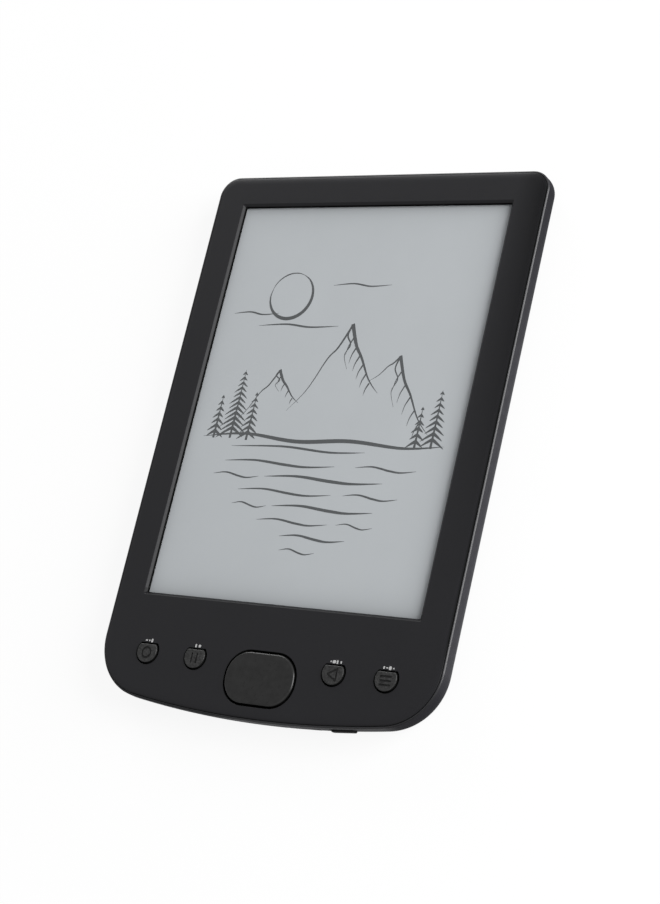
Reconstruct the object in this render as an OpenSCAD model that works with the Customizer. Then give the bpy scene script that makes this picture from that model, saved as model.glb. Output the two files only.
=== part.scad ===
// E-reader with a paper-like screen, four keys and a rocking pad.
// It lies on its back: X to the right, Y towards the top edge, Z out of the screen.
// The origin is in the middle of the flat back.

/* [Case] */
// Width of the case
case_w = 114; // [113:0.5:122]
// Height of the case, from the middle of the bowed bottom edge to the top edge
case_h = 168; // [167:0.5:180]
// Thickness from the flat back to the front face
case_t = 9; // [8.8:0.1:11]
// Radius of the two top corners
top_corner_r = 6.2; // [5:0.1:9]
// Radius of the two bottom corners
bottom_corner_r = 17.3; // [15:0.1:21]
// Radius of the bowed bottom edge
bottom_bow_r = 310; // [260:10:500]
// Thickness of the rear cover's side wall
wall = 1.6; // [1.4:0.05:1.8]
// Thickness of the rear cover's floor
floor_t = 1.4; // [1.2:0.05:1.6]
// Width of the rounding between the side and the flat back
back_round_w = 5.7; // [4.5:0.1:6.5]
// Height of the upright part of the side wall, below the rim
side_upright = 2.65; // [2:0.05:3]
// Depth of the rear cover's rim below the front face
rim_drop = 0.5; // [0.4:0.05:0.9]
// Thickness of the lip that surrounds the front bezel
lip_t = 0.55; // [0.4:0.05:0.7]
// Chamfer on the lip's outer edge
lip_chamfer = 0.3; // [0.1:0.05:0.35]
// Gap between the lip and the front bezel
lip_gap = 0.12; // [0.08:0.02:0.2]

/* [Front bezel] */
// Thickness of the front bezel
bezel_t = 1.5; // [1.35:0.05:1.6]
// Width of the rounding along the bezel's outer edge
bezel_edge_w = 2.2; // [1.2:0.1:3]
// Drop of the rounding along the bezel's outer edge
bezel_edge_h = 0.35; // [0.2:0.05:0.4]
// Margin between the active area and the window's edge
window_margin = 0.8; // [0.5:0.1:1.2]
// Corner radius of the window
window_r = 0.4; // [0.2:0.1:1.2]
// Width of the flat bevel around the window
window_bevel = 0.85; // [0.6:0.05:1.1]
// Width of a snap tab
tab_w = 9; // [6:0.5:12]
// Thickness of a snap tab
tab_t = 1; // [0.8:0.05:1.2]
// Length of a snap tab below the bezel
tab_l = 2.1; // [1.8:0.1:2.4]
// Clearance between a snap tab and the wall
tab_gap = 0.15; // [0.1:0.05:0.25]
// Reach of a snap hook beyond its tab
hook_reach = 0.4; // [0.3:0.05:0.6]

/* [Display] */
// Width of the screen's active area
active_w = 90.6; // [88:0.2:91]
// Height of the screen's active area
active_h = 122.4; // [118:0.2:123]
// Distance from the case's top edge to the middle of the screen
screen_drop = 72.15; // [71.9:0.05:74]
// Depth of the screen's surface below the front face
screen_depth = 1.6; // [1.55:0.05:1.9]
// Glass border beside the active area
glass_side = 5.6; // [5:0.1:5.7]
// Glass border above the active area
glass_head = 4.8; // [4.2:0.1:5]
// Glass ledge below the active area, for the drivers and the tail
glass_foot = 11.2; // [10:0.2:12]
// Border of the ink film around the active area
film_border = 3; // [2.6:0.1:3.4]
// Thickness of the ink film
film_t = 0.38; // [0.3:0.02:0.5]
// Thickness of the glass backplane
glass_t = 0.8; // [0.6:0.05:1]
// Thickness of the foam gasket
gasket_t = 0.3; // [0.2:0.05:0.4]
// Thickness of the tape under the glass
panel_tape_t = 0.15; // [0.1:0.05:0.2]
// Thickness of the support plate
plate_t = 0.5; // [0.4:0.05:0.6]
// Thickness of the display's flexible tail
flex_t = 0.1; // [0.08:0.01:0.15]
// Width of the display's flexible tail
flex_w = 20; // [16:0.5:22]

/* [Keys] */
// Diameter of a key cap
key_d = 6.9; // [6.2:0.1:8]
// Distance from a key's middle to its flat side
key_flat = 2.1; // [1.8:0.05:2.8]
// Distance from the case's bottom edge to the keys' middle
key_up = 16.15; // [15.5:0.05:17]
// Distance from the middle of the case to the inner keys
key_near_x = 23.3; // [22:0.1:25]
// Distance from the middle of the case to the outer keys
key_far_x = 40.2; // [38:0.1:41]
// Gap between a key cap and its hole
key_gap = 0.36; // [0.2:0.02:0.4]
// Height of a key cap above the front face
key_proud = 0.5; // [0.3:0.05:0.8]
// Rounding along a key cap's top edge
key_edge = 0.3; // [0.15:0.05:0.5]
// Reach of a key's flange beyond its cap
key_lip = 0.8; // [0.6:0.05:1]
// Thickness of a key's flange
key_flange_t = 0.6; // [0.5:0.05:0.8]
// Diameter of a key's stem
key_stem_d = 3; // [2.4:0.1:3.6]
// Travel of a key
key_travel = 0.3; // [0.2:0.02:0.3]
// Clearance between a flange and its collar
guide_gap = 0.15; // [0.1:0.02:0.25]
// Wall of the collars under the bezel
collar_w = 0.8; // [0.6:0.05:1]
// Diameter of a snap dome
dome_d = 4; // [3.4:0.1:4]
// Height of a snap dome
dome_h = 0.35; // [0.33:0.01:0.45]
// Thickness of a snap dome's sheet
dome_t = 0.08; // [0.05:0.01:0.12]

/* [Rocking pad] */
// Width of the pad
nav_w = 22.9; // [21:0.1:25]
// Height of the pad
nav_h = 15; // [14:0.1:16]
// Corner radius of the pad
nav_r = 7; // [5:0.1:7]
// Distance from the case's bottom edge to the pad's middle
nav_up = 12; // [11.8:0.05:12.4]
// Gap between the pad and its hole
nav_gap = 0.5; // [0.3:0.02:0.54]
// Height of the pad above the front face
nav_proud = 0.6; // [0.4:0.05:0.9]
// Rounding along the pad's top edge
nav_edge = 0.7; // [0.4:0.05:1]
// Reach of the pad's flange beyond its edge
nav_lip = 0.8; // [0.7:0.05:1]
// Thickness of the pad's flange
nav_flange_t = 0.5; // [0.4:0.05:0.6]
// Gap above the pad's flange, for rocking
nav_float = 0.65; // [0.65:0.01:0.75]
// Thickness of the pad's top and side walls
nav_wall = 1.2; // [1:0.05:1.5]
// Radius of the ball that the pad rocks on
pivot_r = 1; // [0.8:0.05:1.1]
// Clearance around the ball
pivot_gap = 0.04; // [0.02:0.01:0.06]
// Distance from the pad's middle to its side domes, left and right
nav_dome_x = 8.6; // [7.5:0.1:9]
// Distance from the pad's middle to its side domes, up and down
nav_dome_y = 5.2; // [5.2:0.1:5.5]

/* [Board] */
// Thickness of the circuit board
board_t = 1; // [0.8:0.05:1.1]
// Gap between the case's outline and the board's edge
board_inset = 3.2; // [3.1:0.05:3.6]
// Room between the board and the support plate
board_room = 1.17; // [1.12:0.01:1.3]
// Distance from the case's right edge to the battery bay
column_w = 40.5; // [39:0.5:43]
// Distance from the case's top edge to the battery bay
top_strip = 29; // [28.5:0.25:30]
// Distance from the case's bottom edge to the battery bay
bottom_strip = 37; // [36:0.25:38]
// Thickness of the larger chips
chip_t = 0.8; // [0.6:0.05:0.85]
// Thickness of the shield can's sheet
can_sheet = 0.12; // [0.1:0.02:0.15]

/* [Screws] */
// Diameter of the screws
screw_d = 1.6; // [1.4:0.1:1.8]
// Diameter of the screw heads
screw_head_d = 2.8; // [2.4:0.1:2.8]
// Height of the screw heads
screw_head_t = 0.5; // [0.4:0.05:0.6]
// Clearance around a screw in its hole
screw_gap = 0.05; // [0.03:0.01:0.1]
// Diameter of the screw bosses
boss_d = 3.2; // [2.8:0.1:3.4]
// Distance from the case's side to the support plate's screws
plate_screw_in = 4.6; // [4.55:0.05:4.8]

/* [Battery] */
// Width of the battery
battery_w = 60; // [52:0.5:61]
// Height of the battery
battery_h = 90; // [80:0.5:92]
// Thickness of the battery
battery_t = 3.4; // [3:0.05:3.8]
// Thickness of the tape under the battery
battery_tape_t = 0.15; // [0.1:0.05:0.2]
// Diameter of the battery's leads
lead_d = 0.8; // [0.6:0.05:0.85]

/* [Ports] */
// Distance of the charging socket from the middle of the case
usb_x = 0; // [-5:0.5:5]
// Width of the charging socket
usb_w = 7.5; // [7:0.1:8]
// Height of the charging socket
usb_h = 2.5; // [2.3:0.05:2.6]
// Depth of the charging socket
usb_depth = 4.6; // [4:0.1:4.7]
// Thickness of the charging socket's shell
usb_sheet = 0.3; // [0.2:0.05:0.4]
// Distance of the headphone socket from the middle of the case
jack_x = 34; // [33:0.5:36]
// Diameter of the headphone socket's bore
jack_bore_d = 3.65; // [3.6:0.01:3.7]
// Depth of the headphone socket's bore
jack_bore_depth = 14.2; // [13.5:0.1:14.5]
// Height and width of the headphone socket's body
jack_size = 4.4; // [4.3:0.05:4.5]
// Distance of the memory card slot from the middle of the case
card_x = -30; // [-31:0.5:-26]
// Width of the memory card slot
card_slot_w = 11.6; // [11.4:0.1:12]
// Height of the memory card slot
card_slot_h = 0.8; // [0.75:0.05:0.9]
// Clearance around a port in the rear cover
port_gap = 0.25; // [0.15:0.05:0.3]

/* [Bottom edge] */
// Distance of the power button from the middle of the case
power_x = 28.7; // [27:0.1:32]
// Width of the power button
power_w = 7.8; // [7:0.1:8.6]
// Height of the power button
power_h = 1.9; // [1.6:0.05:2]
// Reach of the power button beyond the wall
power_proud = 0.4; // [0.4:0.05:0.8]
// Travel of the power button
power_travel = 0.4; // [0.3:0.02:0.4]
// Gap between the power button and its opening
power_gap = 0.2; // [0.15:0.02:0.3]
// Distance of the charge light from the middle of the case
light_x = 20; // [18.5:0.25:21]
// Width of the charge light's window
light_w = 2.2; // [1.8:0.1:2.6]
// Distance of the reset hole from the middle of the case
reset_x = 10.5; // [9:0.25:12]
// Diameter of the reset hole
reset_d = 1.5; // [1.2:0.1:1.6]

/* [Hidden] */
$fn = 48;
// How far joined shapes run into each other, and cuts run past a face
sink = 0.2;
// Smallest radius that an inset corner keeps
corner_min_r = 0.5;
// Steps along the outline's arcs and along the roundings
top_steps = 6;
bottom_steps = 9;
bow_steps = 8;
round_steps = 8;
edge_steps = 5;

// Heights from the back, following the stack down from the front face
rim_z = case_t - rim_drop;
ledge_z = case_t - bezel_t;
upright_z = rim_z - side_upright;
screen_z = case_t - screen_depth;
film_z = screen_z - film_t;
glass_z = film_z - glass_t;
plate_top = glass_z - panel_tape_t;
plate_z = plate_top - plate_t;
board_top = plate_z - board_room;
board_z = board_top - board_t;

// Places across the case
case_top = case_h / 2;
case_bottom = -case_h / 2;
case_side = case_w / 2;
screen_y = case_top - screen_drop;
glass_top = screen_y + active_h / 2 + glass_head;
key_y = case_bottom + key_up;
nav_y = case_bottom + nav_up;
bay_top = case_top - top_strip;
bay_bottom = case_bottom + bottom_strip;
bow_y = case_bottom + bottom_bow_r;

// Case, as insets from the outline and heights
outer_profile = concat(
    [for (i = [0:round_steps])
        let (a = 90 * i / round_steps)
        [back_round_w * (1 - sin(a)), upright_z * (1 - cos(a))]],
    [[0, rim_z - lip_chamfer], [lip_chamfer, rim_z]]
);
inner_profile = concat(
    [for (i = [0:round_steps])
        let (a = 90 * i / round_steps)
        [wall + (back_round_w - wall) * (1 - sin(a)), upright_z - (upright_z - floor_t) * cos(a)]],
    [[wall, ledge_z], [lip_t, ledge_z], [lip_t, case_t]]
);
// Parts that hang below the board stay this far above the floor
floor_gap = 0.1;

// Front bezel
bezel_inset = lip_t + lip_gap;
bezel_profile = concat(
    [[bezel_inset, ledge_z]],
    [for (i = [0:edge_steps])
        let (a = 90 * i / edge_steps)
        [bezel_inset + bezel_edge_w * (1 - cos(a)), case_t - bezel_edge_h * (1 - sin(a))]]
);
window_w = active_w + 2 * window_margin;
window_h = active_h + 2 * window_margin;
film_w = active_w + 2 * film_border;
film_h = active_h + 2 * film_border;
// The foam keeps this far back from the window and from the film's edge
gasket_back = 0.4;
gasket_slack = 0.2;
gasket_top = screen_z + gasket_t;
hook_low = 0.2;
hook_high = 0.9;
hook_slack = 0.12;
tab_y = 32;
tab_places = [[1, screen_y + tab_y], [1, screen_y - tab_y], [-1, screen_y + tab_y], [-1, screen_y - tab_y]];
head_tab_x = 18;

// Keys and pad
key_x = [-key_far_x, -key_near_x, key_near_x, key_far_x];
key_flange_r = key_d / 2 + key_lip;
key_flange_flat = key_flat + key_lip;
key_collar_h = key_flange_t + key_travel + sink;
dome_gap = 0.03;
dome_facets = 180;
dome_sphere_r = (pow(dome_d / 2, 2) + dome_h * dome_h) / (2 * dome_h);
nav_flange_top = ledge_z - nav_float;
nav_flange_z = nav_flange_top - nav_flange_t;
nav_collar_h = nav_float + nav_flange_t + sink;
pivot_drop = 0.15;
pivot_z = nav_flange_z - pivot_drop;
pusher_r = dome_d / 2;
pusher_drop = 0.2;
pusher_top = pivot_z - pusher_drop;
nav_guide_gap = 0.1;
nav_guide_w = 0.9;
nav_guide_drop = 0.4;
nav_guide_top = pusher_top - nav_guide_drop;
nub_places = [[nav_dome_x, 0], [-nav_dome_x, 0], [0, nav_dome_y], [0, -nav_dome_y]];
nub_r = 0.8;
// The nubs stay this far above the side domes at rest
nub_gap = 0.18;

// Board, its screws and its parts
plate_margin = 0.4;
ear_h = 4.4;
plate_screw_x = case_side - plate_screw_in;
plate_screw_up = 58;
plate_screw_down = 62;
plate_screw_y = [screen_y + plate_screw_up, screen_y, screen_y - plate_screw_down];
plate_screw_l = 3;
board_screw_l = 2.6;
right_screw_in = 10;
right_screw_head = 26;
right_screw_foot = 54;
left_screw_in = 11;
left_screw_head = 20;
left_screw_foot = 24;
middle_screw_x = 15;
board_screws_at = [
    [case_side - right_screw_in, case_top - right_screw_head],
    [case_side - right_screw_in, case_bottom + right_screw_foot],
    [-case_side + left_screw_in, case_top - left_screw_head],
    [-case_side + left_screw_in, case_bottom + left_screw_foot],
    [middle_screw_x, case_bottom + left_screw_foot]
];
boss_slack = 0.4;
// The glass stops short of the support plate's screws
glass_gap = 0.1;
glass_edge = min(active_w / 2 + glass_side, plate_screw_x - screw_head_d / 2 - glass_gap);
// The battery bay starts beside the board's column, and leaves room for the bosses behind the battery
battery_gap = 1.5;
boss_gap = 0.5;
battery_left = -plate_screw_x + boss_d / 2 + boss_gap;
bay_right = max(case_side - column_w, battery_left + battery_w + battery_gap);
// Chips: place from the middle of the group, between the bay and the bosses, and size
chips_x = (bay_right + plate_screw_x - boss_d / 2) / 2;
chips_y = screen_y;
processor_box = [0, 8, 14, 14];
memory_box = [0, -9, 11, 9];
flash_box = [0, 35, 12, 18];
power_box = [-3, -30, 7, 7];
screen_power_box = [-8, -48, 6, 6];
crystal_box = [8, -23.5, 3.2, 2.5];
coil_places = [[5, -27], [5, -33], [0, -46], [0, -51]];
capacitor_rows = [[-11, -33], [-14, -46], [-11, 27], [-11, 40]];
capacitor_counts = [6, 5, 8, 6];
can_w = 26;
can_h = 40;
can_gap = 0.1;
connector_w = flex_w + 2;
connector_d = 4.5;
connector_t = 1;
connector_in = 2;
flex_low = board_top + connector_t / 2;
flex_out = 0.3;
// The glass ledge ends where the tail, folded round its edge, still clears the pad's collar
flex_room = 0.3;
flex_reach = flex_out + (film_z + flex_t - flex_low) / 2;
pad_collar_top = nav_y + nav_h / 2 + nav_lip + guide_gap + collar_w;
glass_bottom = max(screen_y - active_h / 2 - glass_foot, pad_collar_top + flex_reach + flex_room);
glass_ledge = screen_y - active_h / 2 - glass_bottom;
connector_y = glass_bottom + connector_in;

// Battery and its leads
battery_x = bay_right - battery_gap - battery_w / 2;
battery_z = floor_t + battery_tape_t;
terrace_h = 4;
lead_room = 4;
battery_top = bay_top - lead_room - terrace_h;
guard_t = 0.8;
lead_lift = 0.15;
lead_z = board_top + lead_d / 2 + lead_lift;
guard_drop = 0.05;
guard_top = lead_z - lead_d / 2 - guard_drop;
plug_x = bay_right - 10;
plug_y = bay_top + 2.5;
plug_w = 3.8;
plug_d = 3;
plug_t = 0.8;
socket_wall = 0.5;
socket_floor = 0.1;
lead_sides = 8;
// Points of the leads, from the corner of the battery bay to the plug
red_route = [
    [-35, -6.8], [-35, -5], [-34, -3], [-31.5, -1.9], [-27, -1.5], [-20, -1.4],
    [-14, -1.3], [-11, -0.9], [-9.4, 0.2], [-9, 1.4], [-9, 2.5]
];
black_route = [
    [-38, -6.8], [-38, -4], [-36.8, -1.6], [-33, -0.1], [-27, 0.2], [-20, 0.3],
    [-15, 0.4], [-12.4, 0.8], [-11.2, 1.5], [-11, 2], [-11, 2.5]
];

// Ports on the top edge
usb_in = 1;
usb_mouth = case_top - usb_in;
usb_tongue_t = 0.6;
jack_nose_l = 2.6;
jack_nose_d = 4.6;
jack_end_wall = 1.2;
jack_extra_w = 1.8;
jack_body_w = jack_size + jack_extra_w;
jack_body_l = jack_bore_depth - jack_nose_l + jack_end_wall;
// The headphone socket hangs in a notch of the board, clear of the floor
jack_sink = 0.65;
jack_z = max(board_top - jack_sink, floor_t + jack_size / 2 + floor_gap);
jack_front = case_top - floor_inset(jack_z - jack_size / 2 - floor_gap / 2);
jack_mouth = jack_front + jack_nose_l;
jack_wing_w = 1.4;
jack_wing_t = 0.4;
jack_gap = 0.2;
card_depth = 14.5;
card_rail = 1.4;
card_base_t = 0.5;
card_sheet = 0.2;
card_z = board_z - card_base_t - card_slot_h;
card_mouth = case_top - floor_inset(card_z - card_sheet - floor_gap);
card_w = card_slot_w + 2 * card_rail;
scoop_r = 5;
scoop_cut = 2.1;

// Bottom edge
power_lift = 0.05;
power_z = board_top + power_lift + power_h / 2;
power_lip = 1;
power_flange_t = 0.7;
power_flange_back = 0.45;
power_flange_in = wall + power_flange_back;
switch_w = 4.8;
switch_d = 3.4;
switch_back = 1.2;
plunger_w = 2;
plunger_t = 0.8;
plunger_l = 0.9;
plunger_in = 1;
plunger_gap = 0.1;
power_switch_y = edge_y(power_x, board_inset) + switch_back;
power_shaft_z = power_z - plunger_t / 2;
reset_h = 1;
reset_w = 3.4;
reset_l = 2.4;
reset_back = 0.3;
reset_travel = 0.25;
reset_plunger_w = 1.2;
reset_plunger_t = 0.5;
reset_plunger_out = 0.6;
reset_plunger_in = 0.8;
reset_switch_y = edge_y(reset_x, board_inset) + reset_back;
reset_z = board_top + reset_h / 2;
light_h = 1;
light_lift = 0.2;
light_z = board_top + light_lift;
light_flush = 0.1;
light_gap = 0.1;
lamp_w = 1.6;
lamp_d = 0.8;
lamp_h = 0.7;
lamp_y = edge_y(light_x, board_inset) + lamp_d;

// Points of an arc, ends included
function arc(x, y, r, from, to, steps) =
    [for (i = [0:steps]) let (a = from + (to - from) * i / steps) [x + r * cos(a), y + r * sin(a)]];

// Outline of the case drawn in by d: straight sides, round corners and a bowed bottom edge
function case_ring(d) =
    let (side = case_side - d)
    let (bow = bottom_bow_r - d)
    let (rt = max(top_corner_r - d, corner_min_r))
    let (rb = max(bottom_corner_r - d, corner_min_r))
    let (tx = side - rt)
    let (ty = case_top - d - rt)
    let (bx = side - rb)
    let (by = bow_y - sqrt(pow(bow - rb, 2) - bx * bx))
    let (tilt = asin(bx / (bow - rb)))
    let (bow_arc = arc(0, bow_y, bow, 270 - tilt, 270 + tilt, bow_steps))
    concat(
        arc(tx, ty, rt, 0, 90, top_steps),
        arc(-tx, ty, rt, 90, 180, top_steps),
        arc(-bx, by, rb, 180, 270 - tilt, bottom_steps),
        [for (i = [1:bow_steps - 1]) bow_arc[i]],
        arc(bx, by, rb, 270 + tilt, 360, bottom_steps)
    );

// Height of the bottom edge's outline, drawn in by d, at a place across the case
function edge_y(x, d) = bow_y - sqrt(pow(bottom_bow_r - d, 2) - x * x);

// Inset at which the inner floor's rounding has come down to a height
function floor_inset(z) =
    let (a = acos(min(1, (upright_z - z) / (upright_z - floor_t))))
    wall + (back_round_w - wall) * (1 - sin(a));

// Outline of a rectangle with round corners
function round_ring(w, h, r) =
    concat(
        arc(w / 2 - r, h / 2 - r, r, 0, 90, top_steps),
        arc(r - w / 2, h / 2 - r, r, 90, 180, top_steps),
        arc(r - w / 2, r - h / 2, r, 180, 270, top_steps),
        arc(w / 2 - r, r - h / 2, r, 270, 360, top_steps)
    );

// Solid through rings of points at rising heights
module loft(rings, heights) {
    n = len(rings[0]);
    last = len(rings) - 1;
    points = [for (k = [0:last]) for (p = rings[k]) [p[0], p[1], heights[k]]];
    sides = [
        for (k = [0:last - 1])
        for (i = [0:n - 1])
        let (a = k * n + i)
        let (b = k * n + (i + 1) % n)
        each [[a, a + n, b + n], [a, b + n, b]]
    ];
    low_cap = [for (i = [0:n - 1]) i];
    high_cap = [for (i = [0:n - 1]) last * n + n - 1 - i];
    polyhedron(points, concat([low_cap], [high_cap], sides));
}

// Solid with the case's outline, from a profile of insets and heights
module case_loft(profile) {
    loft([for (p = profile) case_ring(p[0])], [for (p = profile) p[1]]);
}

// Upright slice of the case's outline between two insets, within a strip across the bottom edge
module edge_strip(x, w, d_out, d_in, z, h) {
    reach = 12;
    intersection() {
        translate([x - w / 2, case_bottom - reach / 2, z]) cube([w, reach, h]);
        translate([0, 0, z]) linear_extrude(h) difference() {
            polygon(case_ring(d_out));
            polygon(case_ring(d_in));
        }
    }
}

// Block standing on a height, centred on a place
module block(x, y, z, w, d, h) {
    translate([x - w / 2, y - d / 2, z]) cube([w, d, h]);
}

module round_slab(w, h, r, t) {
    linear_extrude(t) polygon(round_ring(w, h, r));
}

// Disc with one flat side towards the top edge
module d_disc(r, flat, t) {
    intersection() {
        cylinder(r = r, h = t);
        translate([-2 * r, -2 * r, 0]) cube([4 * r, 2 * r + flat, t]);
    }
}

// Tube along points, with a given number of sides
module tube(route, r, sides) {
    last = len(route) - 1;
    rings = [
        for (k = [0:last])
        let (ahead = route[min(k + 1, last)] - route[max(k - 1, 0)])
        let (along = ahead / norm(ahead))
        let (across = [-along[1], along[0], 0])
        [for (i = [0:sides - 1])
            let (a = 360 * (i + 0.5) / sides)
            route[k] + r * cos(a) * across + r * sin(a) * [0, 0, 1]]
    ];
    points = [for (ring = rings) each ring];
    walls = [
        for (k = [0:last - 1])
        for (i = [0:sides - 1])
        let (a = k * sides + i)
        let (b = k * sides + (i + 1) % sides)
        each [[a, a + sides, b + sides], [a, b + sides, b]]
    ];
    first_cap = [for (i = [0:sides - 1]) i];
    last_cap = [for (i = [0:sides - 1]) last * sides + sides - 1 - i];
    polyhedron(points, concat([first_cap], [last_cap], walls));
}

// Case

module boss(x, y, top) {
    translate([x, y, floor_t - sink]) cylinder(d = boss_d, h = top - floor_t + sink);
}

module plate_screw_places() {
    for (s = [-1, 1])
        for (y = plate_screw_y)
            translate([s * plate_screw_x, y, 0]) children();
}

module board_screw_places() {
    for (p = board_screws_at)
        translate([p[0], p[1], 0]) children();
}

module screw(top, l) {
    translate([0, 0, top]) cylinder(d = screw_head_d, h = screw_head_t);
    translate([0, 0, top - l]) cylinder(d = screw_d, h = l + sink);
}

module pilot_hole(top, l) {
    translate([0, 0, top - l - sink]) cylinder(d = screw_d + 2 * screw_gap, h = l + 2 * sink);
}

// Low walls that keep the battery in place
module battery_ribs() {
    rib_t = 1;
    rib_l = 14;
    rib_gap = 0.3;
    rib_in = 20;
    rib_top = board_z - rib_gap;
    for (s = [-1, 1])
        for (y = [bay_bottom + rib_in, battery_top - rib_in])
            block(battery_x + s * (battery_w / 2 + rib_gap + rib_t / 2), y, floor_t - sink,
                rib_t, rib_l, rib_top - floor_t + sink);
}

// Pockets in the wall for the bezel's hooks
module hook_pockets() {
    z = ledge_z - tab_l + hook_low - hook_slack;
    h = hook_high - hook_low + 2 * hook_slack;
    depth = hook_reach - tab_gap + hook_slack;
    l = tab_w + 2 * hook_slack;
    for (t = tab_places)
        block(t[0] * (case_side - wall), t[1], z, 2 * depth, l, h);
    for (s = [-1, 1])
        block(s * head_tab_x, case_top - wall, z, l, 2 * depth, h);
}

module port_cuts() {
    through = 10;
    block(usb_x, case_top - wall, board_top - port_gap, usb_w + 2 * port_gap, through, usb_h + 2 * port_gap);
    translate([jack_x, case_top + sink, jack_z]) rotate([90, 0, 0])
        cylinder(d = jack_nose_d + 2 * port_gap, h = through);
    block(card_x, case_top - wall, card_z, card_slot_w, through, card_slot_h);
    translate([card_x - card_w / 2, case_top - scoop_cut + scoop_r, card_z + card_slot_h / 2])
        rotate([0, 90, 0]) cylinder(r = scoop_r, h = card_w);
    block(power_x, case_bottom + wall, power_z - power_h / 2 - power_gap,
        power_w + 2 * power_gap, through, power_h + 2 * power_gap);
    translate([reset_x, case_bottom + through / 2, reset_z]) rotate([90, 0, 0])
        cylinder(d = reset_d, h = through);
    block(light_x, case_bottom + wall, light_z - light_gap,
        light_w + 2 * light_gap, through, light_h + 2 * light_gap);
}

module rear_cover() {
    color("#2b2b2d") difference() {
        union() {
            difference() {
                case_loft(outer_profile);
                case_loft(inner_profile);
            }
            for (s = [-1, 1])
                for (y = plate_screw_y)
                    boss(s * plate_screw_x, y, plate_z);
            for (p = board_screws_at)
                boss(p[0], p[1], board_z);
            battery_ribs();
        }
        plate_screw_places() pilot_hole(plate_z, plate_screw_l);
        board_screw_places() pilot_hole(board_z, board_screw_l - board_t);
        hook_pockets();
        port_cuts();
    }
}

// Front bezel

// Opening over the screen, with an upright edge below and a flat bevel up to the front face
module window_cut() {
    lip_over = 0.1;
    bevel_z = max(gasket_top + lip_over, case_t - window_bevel);
    steps = [
        [0, screen_z - sink], [0, bevel_z], [window_bevel, case_t], [window_bevel, case_t + sink]
    ];
    translate([0, screen_y, 0])
        loft(
            [for (s = steps) round_ring(window_w + 2 * s[0], window_h + 2 * s[0], window_r)],
            [for (s = steps) s[1]]
        );
}

module gasket_ring(slack, z, t) {
    out = slack - gasket_back;
    translate([0, screen_y, z]) linear_extrude(t) difference() {
        square([film_w + 2 * out, film_h + 2 * out], center = true);
        square([window_w - 2 * out, window_h - 2 * out], center = true);
    }
}

module key_hole_cuts() {
    for (x = key_x)
        translate([x, key_y, ledge_z - sink])
            d_disc(key_d / 2 + key_gap, key_flat + key_gap, bezel_t + 2 * sink);
    translate([0, nav_y, ledge_z - sink])
        round_slab(nav_w + 2 * nav_gap, nav_h + 2 * nav_gap, nav_r + nav_gap, bezel_t + 2 * sink);
}

// Collars under the bezel that guide the flanges of the keys and the pad
module collars() {
    inner = nav_lip + guide_gap;
    outer = inner + collar_w;
    for (x = key_x)
        translate([x, key_y, ledge_z - key_collar_h]) difference() {
            cylinder(r = key_flange_r + guide_gap + collar_w, h = key_collar_h + sink);
            translate([0, 0, -sink])
                d_disc(key_flange_r + guide_gap, key_flange_flat + guide_gap, key_collar_h + 3 * sink);
        }
    translate([0, nav_y, ledge_z - nav_collar_h]) difference() {
        round_slab(nav_w + 2 * outer, nav_h + 2 * outer, nav_r + outer, nav_collar_h + sink);
        translate([0, 0, -sink])
            round_slab(nav_w + 2 * inner, nav_h + 2 * inner, nav_r + inner, nav_collar_h + 3 * sink);
    }
}

// Snap tab along Y with its hook towards +X, its outer face at x = 0
module snap_tab() {
    translate([0, tab_w / 2, ledge_z - tab_l]) rotate([90, 0, 0]) linear_extrude(tab_w)
        polygon([
            [-tab_t, 0], [0, 0], [0, hook_low], [hook_reach, (hook_low + hook_high) / 2],
            [0, hook_high], [0, tab_l + sink], [-tab_t, tab_l + sink]
        ]);
}

module snap_tabs() {
    out = case_side - wall - tab_gap;
    for (t = tab_places)
        translate([t[0] * out, t[1], 0]) rotate(t[0] > 0 ? 0 : 180) snap_tab();
    for (s = [-1, 1])
        translate([s * head_tab_x, case_top - wall - tab_gap, 0]) rotate(90) snap_tab();
}

module front_bezel() {
    color("#2d2d2f") {
        difference() {
            case_loft(bezel_profile);
            window_cut();
            gasket_ring(gasket_slack, ledge_z - sink, gasket_top - ledge_z + sink);
            key_hole_cuts();
        }
        collars();
        snap_tabs();
    }
}

// Display

module display_gasket() {
    color("#1a1a1a") gasket_ring(0, screen_z, gasket_t);
}

module epaper_film() {
    color("#b2b6b8") block(0, screen_y, film_z, film_w, film_h, film_t);
}

module display_glass() {
    color("#9fb3a8") translate([-glass_edge, glass_bottom, glass_z])
        cube([2 * glass_edge, glass_top - glass_bottom, glass_t]);
}

module display_drivers() {
    chip_w = 16;
    chip_d = 1.5;
    driver_t = 0.3;
    pitch = 24;
    color("#1c1c1f")
        for (i = [-1:1])
            block(i * pitch, glass_bottom + glass_ledge / 2, film_z, chip_w, chip_d, driver_t);
}

// Flat tail: bonded on the glass ledge, folded round the lower edge and into its socket
module display_flex() {
    bond = 2.4;
    high = film_z + flex_t;
    r = (high - flex_low) / 2;
    fold_y = glass_bottom - flex_out;
    color("#b5772a") translate([-flex_w / 2, 0, 0]) rotate([90, 0, 90]) linear_extrude(flex_w) {
        translate([fold_y, high - r]) difference() {
            circle(r);
            circle(r - flex_t);
            translate([0, -2 * r]) square([2 * r, 4 * r]);
        }
        translate([fold_y, film_z]) square([flex_out + bond, flex_t]);
        translate([fold_y, flex_low]) square([connector_y - fold_y, flex_t]);
    }
}

module display_connector() {
    bar_d = 1.2;
    bar_in = 1;
    bar_step = 0.2;
    color("#e8e2d2") difference() {
        block(0, connector_y + connector_d / 2, board_top, connector_w, connector_d, connector_t);
        block(0, connector_y + connector_d - bar_d / 2, board_top + connector_t - bar_step,
            connector_w - 2 * bar_in, bar_d, connector_t);
    }
}

module panel_tape() {
    strip_w = 84;
    strip_d = 8;
    strip_low = 52;
    strip_high = 48;
    color("#d8d4c0")
        for (y = [-strip_low, 0, strip_high])
            block(0, screen_y + y, plate_top, strip_w, strip_d, panel_tape_t);
}

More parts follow.
